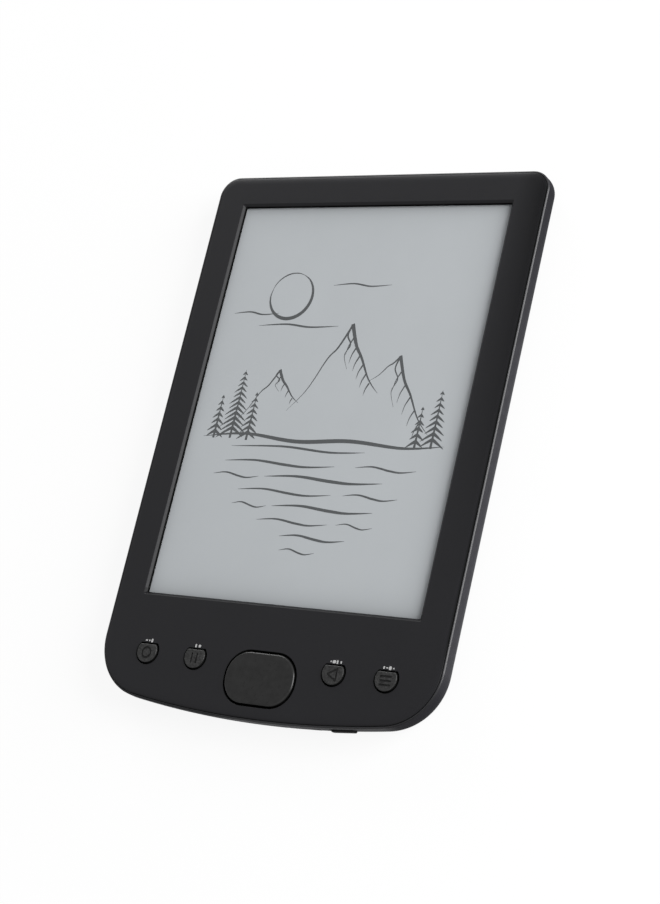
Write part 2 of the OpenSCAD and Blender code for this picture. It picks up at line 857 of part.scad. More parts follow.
module support_plate() {
    half_w = glass_edge - plate_margin;
    low = glass_bottom + plate_margin;
    high = glass_top - plate_margin;
    ear_rim = 0.3;
    ear_end = plate_screw_x + screw_head_d / 2 + ear_rim;
    jack_clear = 1;
    jack_room = jack_body_w + 2 * jack_wing_w + jack_clear;
    color("#a9adb0") difference() {
        union() {
            translate([-half_w, low, plate_z]) cube([2 * half_w, high - low, plate_t]);
            for (y = plate_screw_y)
                block(0, y, plate_z, 2 * ear_end, ear_h, plate_t);
        }
        plate_screw_places() pilot_hole(plate_top, plate_t);
        translate([jack_x - jack_room / 2, jack_front - jack_body_l - jack_clear, plate_z - sink])
            cube([jack_room, jack_body_l + 2 * jack_clear, plate_t + 2 * sink]);
    }
}

module plate_screws() {
    color("#c8cacc") plate_screw_places() screw(plate_top, plate_screw_l);
}

// Board

module mainboard() {
    bay_w = case_w;
    color("#1f5a3a") difference() {
        translate([0, 0, board_z]) linear_extrude(board_t) polygon(case_ring(board_inset));
        translate([bay_right - bay_w, bay_bottom, board_z - sink])
            cube([bay_w, bay_top - bay_bottom, board_t + 2 * sink]);
        plate_screw_places() translate([0, 0, board_z - sink])
            cylinder(d = boss_d + 2 * boss_slack, h = board_t + 2 * sink);
        board_screw_places() pilot_hole(board_top, board_t);
        translate([jack_x - jack_body_w / 2 - jack_gap, jack_front - jack_body_l - jack_gap, board_z - sink])
            cube([jack_body_w + 2 * jack_gap, jack_body_l + board_inset + jack_gap, board_t + 2 * sink]);
    }
}

module board_screws() {
    color("#c8cacc") board_screw_places() screw(board_top, board_screw_l);
}

// Chip with a dot pressed in one corner
module chip(box) {
    dot_d = 0.8;
    dot_in = 1.2;
    dot_depth = 0.05;
    x = chips_x + box[0];
    y = chips_y + box[1];
    color("#222326") difference() {
        block(x, y, board_top, box[2], box[3], chip_t);
        translate([x - box[2] / 2 + dot_in, y + box[3] / 2 - dot_in, board_top + chip_t - dot_depth])
            cylinder(d = dot_d, h = chip_t);
    }
}

module processor() { chip(processor_box); }
module memory_chip() { chip(memory_box); }
module flash_chip() { chip(flash_box); }
module power_chip() { chip(power_box); }
module screen_power_chip() { chip(screen_power_box); }

module power_coils() {
    coil = 4;
    coil_h = 0.95;
    coil_sides = 8;
    color("#6b6a68")
        for (p = coil_places)
            translate([chips_x + p[0], chips_y + p[1], board_top])
                cylinder(d = coil, h = coil_h, $fn = coil_sides);
}

// Rows of small ceramic parts beside the power chips and the flash chip
module capacitors() {
    cap = [1, 0.5, 0.5];
    pitch = 1.6;
    color("#b59a78")
        for (k = [0:len(capacitor_rows) - 1])
            for (i = [0:capacitor_counts[k] - 1])
                block(chips_x + capacitor_rows[k][0], chips_y + capacitor_rows[k][1] + i * pitch, board_top,
                    cap[0], cap[1], cap[2]);
}

module crystal() {
    crystal_h = 0.7;
    color("#c9c9c4") block(chips_x + crystal_box[0], chips_y + crystal_box[1], board_top,
        crystal_box[2], crystal_box[3], crystal_h);
}

module shield_can() {
    tall = chip_t + can_gap + can_sheet;
    vent_d = 1.2;
    vent_pitch = 4;
    color("#c4c6c8") difference() {
        block(chips_x, chips_y, board_top, can_w, can_h, tall);
        block(chips_x, chips_y, board_top - sink, can_w - 2 * can_sheet, can_h - 2 * can_sheet,
            tall - can_sheet + sink);
        for (i = [-2:2])
            for (j = [-3:3])
                translate([chips_x + i * vent_pitch, chips_y + j * vent_pitch, board_top])
                    cylinder(d = vent_d, h = tall + sink);
    }
}

// Battery

module battery_cell() {
    cell_r = 2;
    terrace_in = 3;
    color("#9aa0a6") {
        translate([battery_x, battery_top - battery_h / 2, battery_z])
            round_slab(battery_w, battery_h, cell_r, battery_t);
        block(battery_x, battery_top + terrace_h / 2 - sink, battery_z,
            battery_w - 2 * terrace_in, terrace_h, guard_top - guard_t - battery_z);
    }
}

module battery_tape() {
    share_w = 0.6;
    share_h = 0.7;
    color("#d8d4c0") block(battery_x, battery_top - battery_h / 2, floor_t,
        battery_w * share_w, battery_h * share_h, battery_tape_t);
}

module battery_board() {
    back = 0.3;
    side = 5;
    color("#2a6b45") block(battery_x, battery_top + (terrace_h + back) / 2, guard_top - guard_t,
        battery_w - 2 * side, terrace_h - back - sink, guard_t);
}

function lead_points(route) = [for (p = route) [p[0] + bay_right, p[1] + bay_top, lead_z]];

module battery_lead_red() {
    color("#b02020") tube(lead_points(red_route), lead_d / 2, lead_sides);
}

module battery_lead_black() {
    color("#1a1a1a") tube(lead_points(black_route), lead_d / 2, lead_sides);
}

module battery_plug() {
    color("#f0ece0") block(plug_x, plug_y + plug_d / 2, board_top + socket_floor, plug_w, plug_d, plug_t);
}

// Tray that the plug slides into from the battery's side
module battery_socket() {
    slack = 0.05;
    color("#e4dcc8") difference() {
        block(plug_x, plug_y + (plug_d + socket_wall) / 2, board_top,
            plug_w + 2 * socket_wall, plug_d + socket_wall, plug_t + socket_floor);
        block(plug_x, plug_y + (plug_d - sink) / 2 + slack / 2, board_top + socket_floor,
            plug_w + 2 * slack, plug_d + sink + slack, plug_t + sink);
    }
}

// Ports on the top edge

// Outline of the charging socket, wide side down on the board
module usb_outline(d) {
    w = usb_w / 2 - d;
    step = 0.8;
    polygon([[-w, d], [w, d], [w, usb_h / 2], [w - step, usb_h - d], [step - w, usb_h - d], [-w, usb_h / 2]]);
}

module usb_shell() {
    color("#c2c4c6") translate([usb_x, usb_mouth, board_top]) rotate([90, 0, 0]) difference() {
        linear_extrude(usb_depth) usb_outline(0);
        translate([0, 0, -usb_sheet]) linear_extrude(usb_depth) usb_outline(usb_sheet);
    }
}

module usb_tongue() {
    tongue_side = 1.7;
    tongue_short = 0.8;
    tongue_w = usb_w - 2 * tongue_side;
    tongue_l = usb_depth - usb_sheet - tongue_short;
    color("#202022") block(usb_x, usb_mouth - usb_depth + usb_sheet + tongue_l / 2,
        board_top + (usb_h - usb_tongue_t) / 2, tongue_w, tongue_l, usb_tongue_t);
}

module card_base() {
    color("#2a2a2c") {
        block(card_x, card_mouth - card_depth / 2, board_z - card_base_t, card_w, card_depth, card_base_t);
        for (s = [-1, 1])
            block(card_x + s * (card_w - card_rail) / 2, card_mouth - card_depth / 2, card_z,
                card_rail, card_depth, card_slot_h + card_base_t);
        block(card_x, card_mouth - card_depth + card_rail / 2, card_z,
            card_w, card_rail, card_slot_h + card_base_t);
    }
}

module card_cover() {
    tall = board_z - card_z + card_sheet;
    color("#c2c4c6") {
        block(card_x, card_mouth - card_depth / 2, card_z - card_sheet,
            card_w + 2 * card_sheet, card_depth, card_sheet);
        for (s = [-1, 1])
            block(card_x + s * (card_w + card_sheet) / 2, card_mouth - card_depth / 2, card_z - card_sheet,
                card_sheet, card_depth, tall);
    }
}

module card_contacts() {
    contact_w = 0.6;
    contact_l = 6;
    contact_t = 0.08;
    contact_in = 1;
    count = 8;
    pitch = 1.1;
    y = card_mouth - card_depth + card_rail + contact_in + contact_l / 2;
    color("#d4af57")
        for (i = [0:count - 1])
            block(card_x + (i - (count - 1) / 2) * pitch, y,
                board_z - card_base_t - contact_t, contact_w, contact_l, contact_t);
}

module audio_jack() {
    color("#1d1d1f") difference() {
        union() {
            block(jack_x, jack_front - jack_body_l / 2, jack_z - jack_size / 2,
                jack_body_w, jack_body_l, jack_size);
            translate([jack_x, jack_mouth, jack_z]) rotate([90, 0, 0])
                cylinder(d = jack_nose_d, h = jack_nose_l + sink);
            block(jack_x, jack_front - jack_body_l / 2, board_top,
                jack_body_w + 2 * jack_wing_w, jack_body_l / 2, jack_wing_t);
        }
        translate([jack_x, jack_mouth + sink, jack_z]) rotate([90, 0, 0])
            cylinder(d = jack_bore_d, h = jack_bore_depth + sink);
    }
}

// Solder legs beside the headphone socket, on the board
module jack_contacts() {
    leg_w = 1;
    leg_t = 0.25;
    leg_in = 1.5;
    color("#d4af57")
        for (s = [-1, 1])
            for (y = [leg_in, jack_body_l - leg_in])
                block(jack_x + s * (jack_body_w + jack_wing_w) / 2, jack_front - y, board_top,
                    jack_wing_w, leg_w, leg_t);
}

// Bottom edge

module power_switch() {
    slot_w = plunger_w + 2 * plunger_gap;
    slot_l = plunger_in + power_travel + plunger_gap;
    color("#3a3a3d") difference() {
        translate([power_x - switch_w / 2, power_switch_y, board_top]) cube([switch_w, switch_d, power_h]);
        translate([power_x - slot_w / 2, power_switch_y - sink, power_shaft_z - plunger_gap])
            cube([slot_w, slot_l + sink, plunger_t + 2 * plunger_gap]);
    }
}

module power_plunger() {
    color("#d8d6d0") translate([power_x - plunger_w / 2, power_switch_y - plunger_l, power_shaft_z])
        cube([plunger_w, plunger_l + plunger_in, plunger_t]);
}

module power_button() {
    z = power_z - power_h / 2;
    flange_end = power_flange_in + power_flange_t;
    nub_y = edge_y(power_x, flange_end) - sink;
    color("#141416") {
        edge_strip(power_x, power_w, -power_proud, power_flange_in + sink, z, power_h);
        edge_strip(power_x, power_w + 2 * power_lip, power_flange_in, flange_end, z, power_h);
        translate([power_x - plunger_w / 2, nub_y, power_shaft_z])
            cube([plunger_w, power_switch_y - plunger_l - nub_y, plunger_t]);
    }
}

module reset_switch() {
    slot_w = reset_plunger_w + 2 * plunger_gap;
    slot_l = reset_plunger_in + reset_travel + plunger_gap;
    slot_h = reset_plunger_t + 2 * plunger_gap;
    color("#3a3a3d") difference() {
        translate([reset_x - reset_w / 2, reset_switch_y, board_top]) cube([reset_w, reset_l, reset_h]);
        translate([reset_x - slot_w / 2, reset_switch_y - sink, reset_z - slot_h / 2])
            cube([slot_w, slot_l + sink, slot_h]);
    }
}

module reset_plunger() {
    color("#d8d6d0")
        translate([
            reset_x - reset_plunger_w / 2,
            reset_switch_y - reset_plunger_out,
            reset_z - reset_plunger_t / 2
        ])
            cube([reset_plunger_w, reset_plunger_out + reset_plunger_in, reset_plunger_t]);
}

module charge_light() {
    color("#f4f0d8") block(light_x, lamp_y, board_top, lamp_w, lamp_d, lamp_h);
}

// Clear pipe that carries the lamp's light through the wall
module light_pipe() {
    shoulder = 0.6;
    shoulder_t = 0.7;
    end_y = lamp_y - lamp_d / 2;
    start_y = edge_y(light_x, power_flange_in);
    color("#dfe4e6") {
        edge_strip(light_x, light_w, light_flush, power_flange_in + sink, light_z, light_h);
        edge_strip(light_x, light_w + 2 * shoulder, power_flange_in, power_flange_in + shoulder_t,
            light_z, light_h);
        translate([light_x - light_w / 2, start_y, light_z]) cube([light_w, end_y - start_y, light_h]);
    }
}

// Keys

module key(x) {
    cap_z = ledge_z - sink;
    cap_h = case_t + key_proud - cap_z;
    stem_z = board_top + dome_h + dome_gap;
    r = key_d / 2;
    color("#333336") translate([x, key_y, 0]) {
        intersection() {
            translate([0, 0, cap_z]) rotate_extrude() polygon(concat(
                [[0, 0], [r, 0]],
                arc(r - key_edge, cap_h - key_edge, key_edge, 0, 90, edge_steps),
                [[0, cap_h]]
            ));
            translate([0, 0, cap_z]) d_disc(key_d, key_flat, cap_h);
        }
        translate([0, 0, ledge_z - key_flange_t]) d_disc(key_flange_r, key_flange_flat, key_flange_t);
        translate([0, 0, stem_z]) cylinder(d = key_stem_d, h = ledge_z - key_flange_t - stem_z + sink);
    }
}

// Snap dome: a cap of a thin hollow sphere, standing on the board
module dome(x, y) {
    translate([x, y, board_top]) rotate_extrude() intersection() {
        translate([0, dome_h - dome_sphere_r]) difference() {
            circle(dome_sphere_r, $fn = dome_facets);
            circle(dome_sphere_r - dome_t, $fn = dome_facets);
        }
        square([dome_d, dome_h]);
    }
}

module key_dome(x) {
    color("#d0d0cc") dome(x, key_y);
}

module key_far_left() { key(-key_far_x); }
module key_near_left() { key(-key_near_x); }
module key_near_right() { key(key_near_x); }
module key_far_right() { key(key_far_x); }
module dome_far_left() { key_dome(-key_far_x); }
module dome_near_left() { key_dome(-key_near_x); }
module dome_near_right() { key_dome(key_near_x); }
module dome_far_right() { key_dome(key_far_x); }

// Rocking pad

// Pad with a rounded edge, hollow below, with a seat for the ball and a nub over each side dome
module nav_pad() {
    top = case_t + nav_proud;
    boss_r = pivot_r + nav_wall;
    under = top - nav_wall;
    nub_z = board_top + dome_h + nub_gap;
    core_w = nav_w - 2 * nav_wall;
    core_h = nav_h - 2 * nav_wall;
    edge = [for (i = [0:edge_steps]) let (a = 90 * i / edge_steps) nav_edge * [1 - cos(a), sin(a)]];
    rings = concat([[0, nav_flange_z]], [for (e = edge) [e[0], top - nav_edge + e[1]]]);
    color("#1e1e20") translate([0, nav_y, 0]) difference() {
        union() {
            difference() {
                union() {
                    loft(
                        [for (e = rings) round_ring(nav_w - 2 * e[0], nav_h - 2 * e[0], nav_r - e[0])],
                        [for (e = rings) e[1]]
                    );
                    translate([0, 0, nav_flange_z])
                        round_slab(nav_w + 2 * nav_lip, nav_h + 2 * nav_lip, nav_r + nav_lip, nav_flange_t);
                }
                translate([0, 0, nav_flange_z - sink])
                    round_slab(core_w, core_h, nav_r - nav_wall, under - nav_flange_z + sink);
            }
            translate([0, 0, nav_flange_z]) cylinder(r = boss_r, h = under - nav_flange_z + sink);
            for (p = nub_places)
                translate([p[0], p[1], nub_z]) cylinder(r = nub_r, h = under - nub_z + sink);
        }
        translate([0, 0, pivot_z]) sphere(pivot_r + pivot_gap);
    }
}

module nav_pivot() {
    color("#d8d6d0") translate([0, nav_y, pivot_z]) sphere(pivot_r);
}

module nav_pusher() {
    low = board_top + dome_h + dome_gap;
    color("#3c3c40") translate([0, nav_y, 0]) difference() {
        translate([0, 0, low]) cylinder(r = pusher_r, h = pusher_top - low);
        translate([0, 0, pivot_z]) sphere(pivot_r + pivot_gap);
    }
}

module nav_guide() {
    inner = pusher_r + nav_guide_gap;
    color("#2a2a2c") translate([0, nav_y, board_top]) difference() {
        cylinder(r = inner + nav_guide_w, h = nav_guide_top - board_top);
        translate([0, 0, -sink]) cylinder(r = inner, h = nav_guide_top - board_top + 2 * sink);
    }
}

module nav_centre_dome() {
    color("#d0d0cc") dome(0, nav_y);
}

module nav_side_domes() {
    color("#d0d0cc")
        for (p = nub_places)
            dome(p[0], nav_y + p[1]);
}

rear_cover();
front_bezel();
display_gasket();
epaper_film();
display_glass();
display_drivers();
display_flex();
display_connector();
panel_tape();
support_plate();
plate_screws();
mainboard();
board_screws();
processor();
memory_chip();
flash_chip();
power_chip();
screen_power_chip();
power_coils();
capacitors();
crystal();
shield_can();
battery_cell();
battery_tape();
battery_board();
battery_lead_red();
battery_lead_black();
battery_plug();
battery_socket();
usb_shell();
usb_tongue();
card_base();
card_cover();
card_contacts();
audio_jack();
jack_contacts();
power_switch();
power_plunger();
power_button();
reset_switch();
reset_plunger();
charge_light();
light_pipe();
key_far_left();
key_near_left();
key_near_right();
key_far_right();
dome_far_left();
dome_near_left();
dome_near_right();
dome_far_right();
nav_pad();
nav_pivot();
nav_pusher();
nav_guide();
nav_centre_dome();
nav_side_domes();
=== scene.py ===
import math

import bmesh
import bpy
from mathutils import Matrix, Vector


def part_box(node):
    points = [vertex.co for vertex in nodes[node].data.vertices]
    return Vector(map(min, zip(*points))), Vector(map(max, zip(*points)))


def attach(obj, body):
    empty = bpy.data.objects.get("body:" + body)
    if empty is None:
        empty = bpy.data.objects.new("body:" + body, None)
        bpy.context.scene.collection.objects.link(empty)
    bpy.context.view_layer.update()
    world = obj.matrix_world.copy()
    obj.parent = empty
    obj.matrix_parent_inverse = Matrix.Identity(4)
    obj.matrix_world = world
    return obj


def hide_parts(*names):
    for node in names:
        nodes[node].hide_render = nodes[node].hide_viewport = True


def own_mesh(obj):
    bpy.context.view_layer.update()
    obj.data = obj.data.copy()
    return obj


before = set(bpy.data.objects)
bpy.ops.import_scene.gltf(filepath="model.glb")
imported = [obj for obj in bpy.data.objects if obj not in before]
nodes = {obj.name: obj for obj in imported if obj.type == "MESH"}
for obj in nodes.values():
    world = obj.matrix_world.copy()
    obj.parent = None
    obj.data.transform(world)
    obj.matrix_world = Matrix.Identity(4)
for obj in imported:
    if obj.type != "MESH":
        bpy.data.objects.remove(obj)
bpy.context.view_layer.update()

mm = 0.001
print("frame loaded:", len(nodes), "nodes")


# Shader maths

class Wire:  # a shader socket that takes part in sums like a number
    def __init__(self, bench, socket):
        self.bench = bench
        self.socket = socket

    def __add__(self, other):
        return self.bench.maths("ADD", self, other)

    def __radd__(self, other):
        return self.bench.maths("ADD", other, self)

    def __sub__(self, other):
        return self.bench.maths("SUBTRACT", self, other)

    def __rsub__(self, other):
        return self.bench.maths("SUBTRACT", other, self)

    def __mul__(self, other):
        return self.bench.maths("MULTIPLY", self, other)

    def __rmul__(self, other):
        return self.bench.maths("MULTIPLY", other, self)

    def __pow__(self, other):
        return self.bench.maths("POWER", self, other)

    def __rpow__(self, other):
        return self.bench.maths("POWER", other, self)

    def __lt__(self, other):
        return self.bench.maths("LESS_THAN", self, other)

    def __gt__(self, other):
        return self.bench.maths("GREATER_THAN", self, other)


class Bench:  # builds one node tree
    def __init__(self, tree):
        self.tree = tree
        tree.nodes.clear()

    def node(self, kind, settings=None, sockets=None, output=0):
        made = self.tree.nodes.new(kind)
        for key, value in (settings or {}).items():
            setattr(made, key, value)
        for key, value in (sockets or {}).items():
            if isinstance(value, Wire):
                self.tree.links.new(value.socket, made.inputs[key])
            else:
                made.inputs[key].default_value = value
        return Wire(self, made.outputs[output])

    def maths(self, operation, *values):
        return self.node("ShaderNodeMath", {"operation": operation}, dict(enumerate(values)))

    def place(self, stretch=None):
        spot = self.node("ShaderNodeTexCoord", output="Object")
        if stretch is None:
            return spot
        return self.node("ShaderNodeMapping", {}, {"Vector": spot, "Scale": stretch})

    def axes(self, vector):
        return [self.node("ShaderNodeSeparateXYZ", {}, {"Vector": vector}, output=axis) for axis in "XYZ"]

    def slope(self):  # which way the surface faces, in x, y and z
        return self.axes(self.node("ShaderNodeTexCoord", output="Normal"))

    def noise(self, spot, size, detail=2.0, rough=0.5):  # size is a grain's width in mm
        return self.node("ShaderNodeTexNoise", {}, {
            "Vector": spot, "Scale": 1 / (size * mm), "Detail": detail, "Roughness": rough})

    def size(self, value):
        return self.maths("ABSOLUTE", value)

    def larger(self, first, *others):
        for other in others:
            first = self.maths("MAXIMUM", first, other)
        return first

    def limited(self, value):
        return self.node("ShaderNodeClamp", {}, {"Value": value})

    def ramp(self, value, start, width, unit=mm):  # 0 at start, 1 at start + width; a width below 0 runs back
        return self.limited((value - start * unit) * (1 / (width * unit)))

    def spread(self, value, width, middle=0.0):  # a noise value brought to a range about the middle
        return (value - 0.5) * width + middle

    def blend(self, share, first, second):
        return self.node("ShaderNodeMix", {"data_type": "RGBA"}, {0: share, 6: first, 7: second}, output=2)

    def bump(self, height, depth):  # depth in mm
        return self.node("ShaderNodeBump", {}, {"Height": height, "Strength": 1.0, "Distance": depth * mm})

    def surface(self, sockets):
        return self.node("ShaderNodeBsdfPrincipled", {}, sockets)

    def layered(self, share, under, over):
        return self.node("ShaderNodeMixShader", {}, {0: share, 1: under, 2: over})

    def close(self, shader, kind="ShaderNodeOutputMaterial"):
        end = self.tree.nodes.new(kind)
        self.tree.links.new(shader.socket, end.inputs["Surface"])


def newFinish(name):
    material = bpy.data.materials.new(name)
    material.use_nodes = True
    return material, Bench(material.node_tree)


def grey(level, tint=(1, 1, 1)):
    return (level * tint[0], level * tint[1], level * tint[2], 1)


# Finishes: the dictionary above each one holds what a look may leave out

glanceForm = {"from": 0.32, "fade": 0.3, "flat": 0.97}


def glancing(bench):  # grows to 1 as a level face is seen from lower down
    flat = bench.slope()[2] > glanceForm["flat"]
    facing = bench.node("ShaderNodeLayerWeight", {}, {"Blend": 0.5}, output="Facing")
    return bench.ramp(facing, glanceForm["from"], glanceForm["fade"], 1) * flat


mouldedBase = {
    "cloudSize": 9, "cloudShare": 0.6, "fleckRatio": 3.1, "contrast": 1.0, "glossSpread": 0.12, "shine": 0.4,
    "paintedShadeRough": 0.6}


def mouldedFinish(name, look, paintedShadeShare=None):  # moulded plastic: close tones, a fine grain, changes of gloss, and painted shade where a share is given
    look = {**mouldedBase, **look}
    material, bench = newFinish(name)
    spot = bench.place()
    cloud = bench.noise(spot, look["cloudSize"], 3)
    grain = bench.noise(spot, look["grainSize"], 3, 0.6)
    fleck = bench.noise(spot, look["grainSize"] * look["fleckRatio"])
    mottle = cloud * look["cloudShare"] + fleck * (1 - look["cloudShare"])
    tone = bench.blend(bench.spread(mottle, look["contrast"], 0.5), look["dark"], look["light"])
    relief = bench.bump(grain, look["grainDepth"])
    shader = bench.surface({
        "Base Color": tone, "Roughness": bench.spread(fleck, look["glossSpread"], look["roughness"]),
        "Specular IOR Level": look["shine"], "Normal": relief})
    if "glance" in look:  # the fine grain of a flat face hides its gloss at a low angle
        matt = bench.node("ShaderNodeBsdfDiffuse", {}, {"Color": tone, "Normal": relief})
        shader = bench.layered(glancing(bench) * look["glance"], shader, matt)
    if paintedShadeShare:  # painted shade: a darker diffuse without gloss is mixed in by the given share
        paintedShade = bench.node("ShaderNodeBsdfDiffuse", {}, {
            "Color": look["paintedShade"], "Roughness": look["paintedShadeRough"], "Normal": relief})
        shader = bench.layered(paintedShadeShare(bench, spot), shader, paintedShade)
    bench.close(shader)
    return material


def paintedShadeBelow(look):  # painted shade in gaps and recesses: its share grows from 0 at a height to 1 below it
    def share(bench, spot):
        return bench.ramp(bench.axes(spot)[2], look["paintedShadeTop"], -look["paintedShadeFade"])
    return share


sheetBase = {"cloudSize": 4, "drawnShare": 0.7, "glossSpread": 0.25}


def sheetFinish(name, look):  # rolled or plated metal: drawn lines along one way, and faint clouds
    look = {**sheetBase, **look}
    material, bench = newFinish(name)
    drawn = bench.noise(bench.place(look["stretch"]), look["lineSize"], 3, 0.6)
    cloud = bench.noise(bench.place(), look["cloudSize"])
    mottle = drawn * look["drawnShare"] + cloud * (1 - look["drawnShare"])
    bench.close(bench.surface({
        "Base Color": bench.blend(mottle, look["dark"], look["light"]), "Metallic": 1.0,
        "Roughness": bench.spread(drawn, look["glossSpread"], look["roughness"]),
        "Normal": bench.bump(drawn, look["lineDepth"])}))
    return material


fibreBase = {"stretch": None, "fibreRatio": 2, "fibreShare": 0.6, "glossSpread": 0.2, "shine": 0.2}


def fibreFinish(name, look):  # tape and foam: fibres or pores
    look = {**fibreBase, **look}
    material, bench = newFinish(name)
    pores = bench.node("ShaderNodeTexVoronoi", {}, {
        "Vector": bench.place(), "Scale": 1 / (look["poreSize"] * mm)})
    fibre = bench.noise(bench.place(look["stretch"]), look["poreSize"] * look["fibreRatio"], 4)
    mottle = fibre * look["fibreShare"] + pores * (1 - look["fibreShare"])
    bench.close(bench.surface({
        "Base Color": bench.blend(mottle, look["dark"], look["light"]), "Specular IOR Level": look["shine"],
        "Roughness": bench.spread(fibre, look["glossSpread"], look["roughness"]),
        "Normal": bench.bump(pores, look["poreDepth"])}))
    return material


boardBase = {
    "trackPitch": 2.2, "scatter": 0.85, "trackWidth": 0.16, "trackDepth": 0.02, "viaSize": 0.07,
    "viaMetal": 0.9, "cloudSize": 6, "roughness": 0.32, "glossSpread": 0.1}


def boardFinish(name, look):  # solder mask over copper tracks, with small vias
    look = {**boardBase, **look}
    material, bench = newFinish(name)
    spot = bench.place()
    cells = {"Vector": spot, "Scale": 1 / (look["trackPitch"] * mm), "Randomness": look["scatter"]}
    nearest, second = [bench.node("ShaderNodeTexVoronoi", {"distance": "MANHATTAN", "feature": feature}, cells)
                       for feature in ("F1", "F2")]
    track = (second - nearest) < look["trackWidth"]
    via = nearest < look["viaSize"]
    cloud = bench.noise(spot, look["cloudSize"])
    mask = bench.blend(cloud, look["dark"], look["light"])
    bench.close(bench.surface({
        "Base Color": bench.blend(via, bench.blend(track, mask, look["track"]), look["via"]),
        "Roughness": bench.spread(cloud, look["glossSpread"], look["roughness"]),
        "Metallic": via * look["viaMetal"], "Normal": bench.bump(track, look["trackDepth"])}))
    return material


tailBase = {"pitch": 0.5, "lineDepth": 0.01, "metal": 0.4, "cloudSize": 3, "roughness": 0.3, "glossSpread": 0.1}
waveUnit = math.pi / 20  # a wave texture's scale for one band a metre


def stripedFinish(name, look):  # flexible tail: amber film over fine copper lines
    look = {**tailBase, **look}
    material, bench = newFinish(name)
    line = bench.node("ShaderNodeTexWave", {"bands_direction": "X"}, {
        "Vector": bench.place(), "Scale": waveUnit / (look["pitch"] * mm), "Distortion": 0.0})
    copper = line > 0.5
    cloud = bench.noise(bench.place(), look["cloudSize"])
    film = bench.blend(cloud, look["dark"], look["light"])
    bench.close(bench.surface({
        "Base Color": bench.blend(copper, film, look["copper"]), "Metallic": copper * look["metal"],
        "Roughness": bench.spread(cloud, look["glossSpread"], look["roughness"]),
        "Normal": bench.bump(copper, look["lineDepth"])}))
    return material


clearBase = {"bend": 1.5, "glossSpread": 0.08}


def clearFinish(name, look):  # glass
    look = {**clearBase, **look}
    material, bench = newFinish(name)
    haze = bench.noise(bench.place(), look["hazeSize"], 3)
    bench.close(bench.surface({
        "Base Color": bench.blend(haze, look["dark"], look["light"]), "IOR": look["bend"],
        "Roughness": bench.spread(haze, look["glossSpread"], look["roughness"]),
        "Transmission Weight": look["clearness"], "Normal": bench.bump(haze, look["hazeDepth"])}))
    return material


# Shapes, all in mm

def newObject(name, data):
    made = bpy.data.objects.new(name, data)
    bpy.context.scene.collection.objects.link(made)
    return made


def newPiece(name, mesh, body, finish, stands=()):
    piece = newObject(name, mesh)
    piece.data.materials.clear()
    piece.data.materials.append(finish)
    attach(piece, body)
    if stands:
        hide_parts(*stands)
    return piece


def meshOf(name, points, faces):
    mesh = bpy.data.meshes.new(name)
    mesh.from_pydata([Vector(p) * mm for p in points], [], faces)
    mesh.validate()
    return mesh


def ringMesh(name, rings):  # closed skin through rings of points, with a face over each end
    count = len(rings[0])
    points = [p for ring in rings for p in ring]
    faces = []
    for k in range(len(rings) - 1):
        for i in range(count):
            a = k * count + i
            b = k * count + (i + 1) % count
            faces.append((a, b, b + count, a + count))
    faces.append(tuple(range(count - 1, -1, -1)))
    faces.append(tuple(range(len(points) - count, len(points))))
    return meshOf(name, points, faces)


def level(outline, z):
    return [(x, y, z) for x, y in outline]


def turned(rings, spot):  # a form drawn flat is stood up, so that its height runs along +Y from spot
    x0, y0, z0 = spot
    return [[(x0 + x, y0 + z, z0 + y) for x, y, z in ring] for ring in rings]


def mended(mesh):  # faces of a closed mesh all point outwards
    work = bmesh.new()
    work.from_mesh(mesh)
    bmesh.ops.recalc_face_normals(work, faces=work.faces)
    work.to_mesh(mesh)
    work.free()
    return mesh


def joined(name, meshes):
    work = bmesh.new()
    for mesh in meshes:
        work.from_mesh(mesh)
        bpy.data.meshes.remove(mesh)
    mesh = bpy.data.meshes.new(name)
    work.to_mesh(mesh)
    work.free()
    return mesh


def openRing(mesh):  # a ring mesh that closes on itself instead of having end faces
    work = bmesh.new()
    work.from_mesh(mesh)
    ends = [face for face in work.faces if len(face.verts) > 4]
    count = len(ends[0].verts)
    bmesh.ops.delete(work, geom=ends, context="FACES_ONLY")
    work.verts.ensure_lookup_table()
    start, end = work.verts[:count], work.verts[-count:]
    for i in range(count):
        j = (i + 1) % count
        work.faces.new((end[i], end[j], start[j], start[i]))
    bmesh.ops.recalc_face_normals(work, faces=work.faces)
    work.to_mesh(mesh)
    work.free()
    return mesh


def carved(mesh, steps):  # steps are (operation, mesh) pairs, done one after the other
    base = newObject("carvedBase", mesh)
    spares = [base]
    for operation, other in steps:
        helper = newObject("carvedHelper", mended(other))
        helper.hide_render = True
        spares.append(helper)
        modifier = base.modifiers.new(operation, "BOOLEAN")
        modifier.operation = operation
        modifier.solver = "EXACT"
        modifier.object = helper
    bpy.context.view_layer.update()
    graph = bpy.context.evaluated_depsgraph_get()
    result = bpy.data.meshes.new_from_object(base.evaluated_get(graph), depsgraph=graph)
    for spare in spares:
        old = spare.data
        bpy.data.objects.remove(spare)
        bpy.data.meshes.remove(old)
    return result


softForm = {"angle": 32, "weight": 60}


def softEdges(piece):  # smooth shading that keeps flat faces flat
    mesh = piece.data
    mesh.polygons.foreach_set("use_smooth", [True] * len(mesh.polygons))
    mesh.set_sharp_from_angle(angle=math.radians(softForm["angle"]))
    modifier = piece.modifiers.new("flatFaces", "WEIGHTED_NORMAL")
    modifier.keep_sharp = True
    modifier.weight = softForm["weight"]


def arc(x, y, r, start, end, steps):
    turns = [math.radians(start + (end - start) * i / steps) for i in range(steps + 1)]
    return [(x + r * math.cos(a), y + r * math.sin(a)) for a in turns]


def circle(x, y, r, count):
    return arc(x, y, r, 0, 360 - 360 / count, count - 1)


def rectangle(x1, x2, y1, y2):
    return [(x1, y1), (x2, y1), (x2, y2), (x1, y2)]


def roundRect(w, h, r, steps=10):
    x, y = w / 2 - r, h / 2 - r
    return (arc(x, y, r, 0, 90, steps) + arc(-x, y, r, 90, 180, steps)
            + arc(-x, -y, r, 180, 270, steps) + arc(x, -y, r, 270, 360, steps))


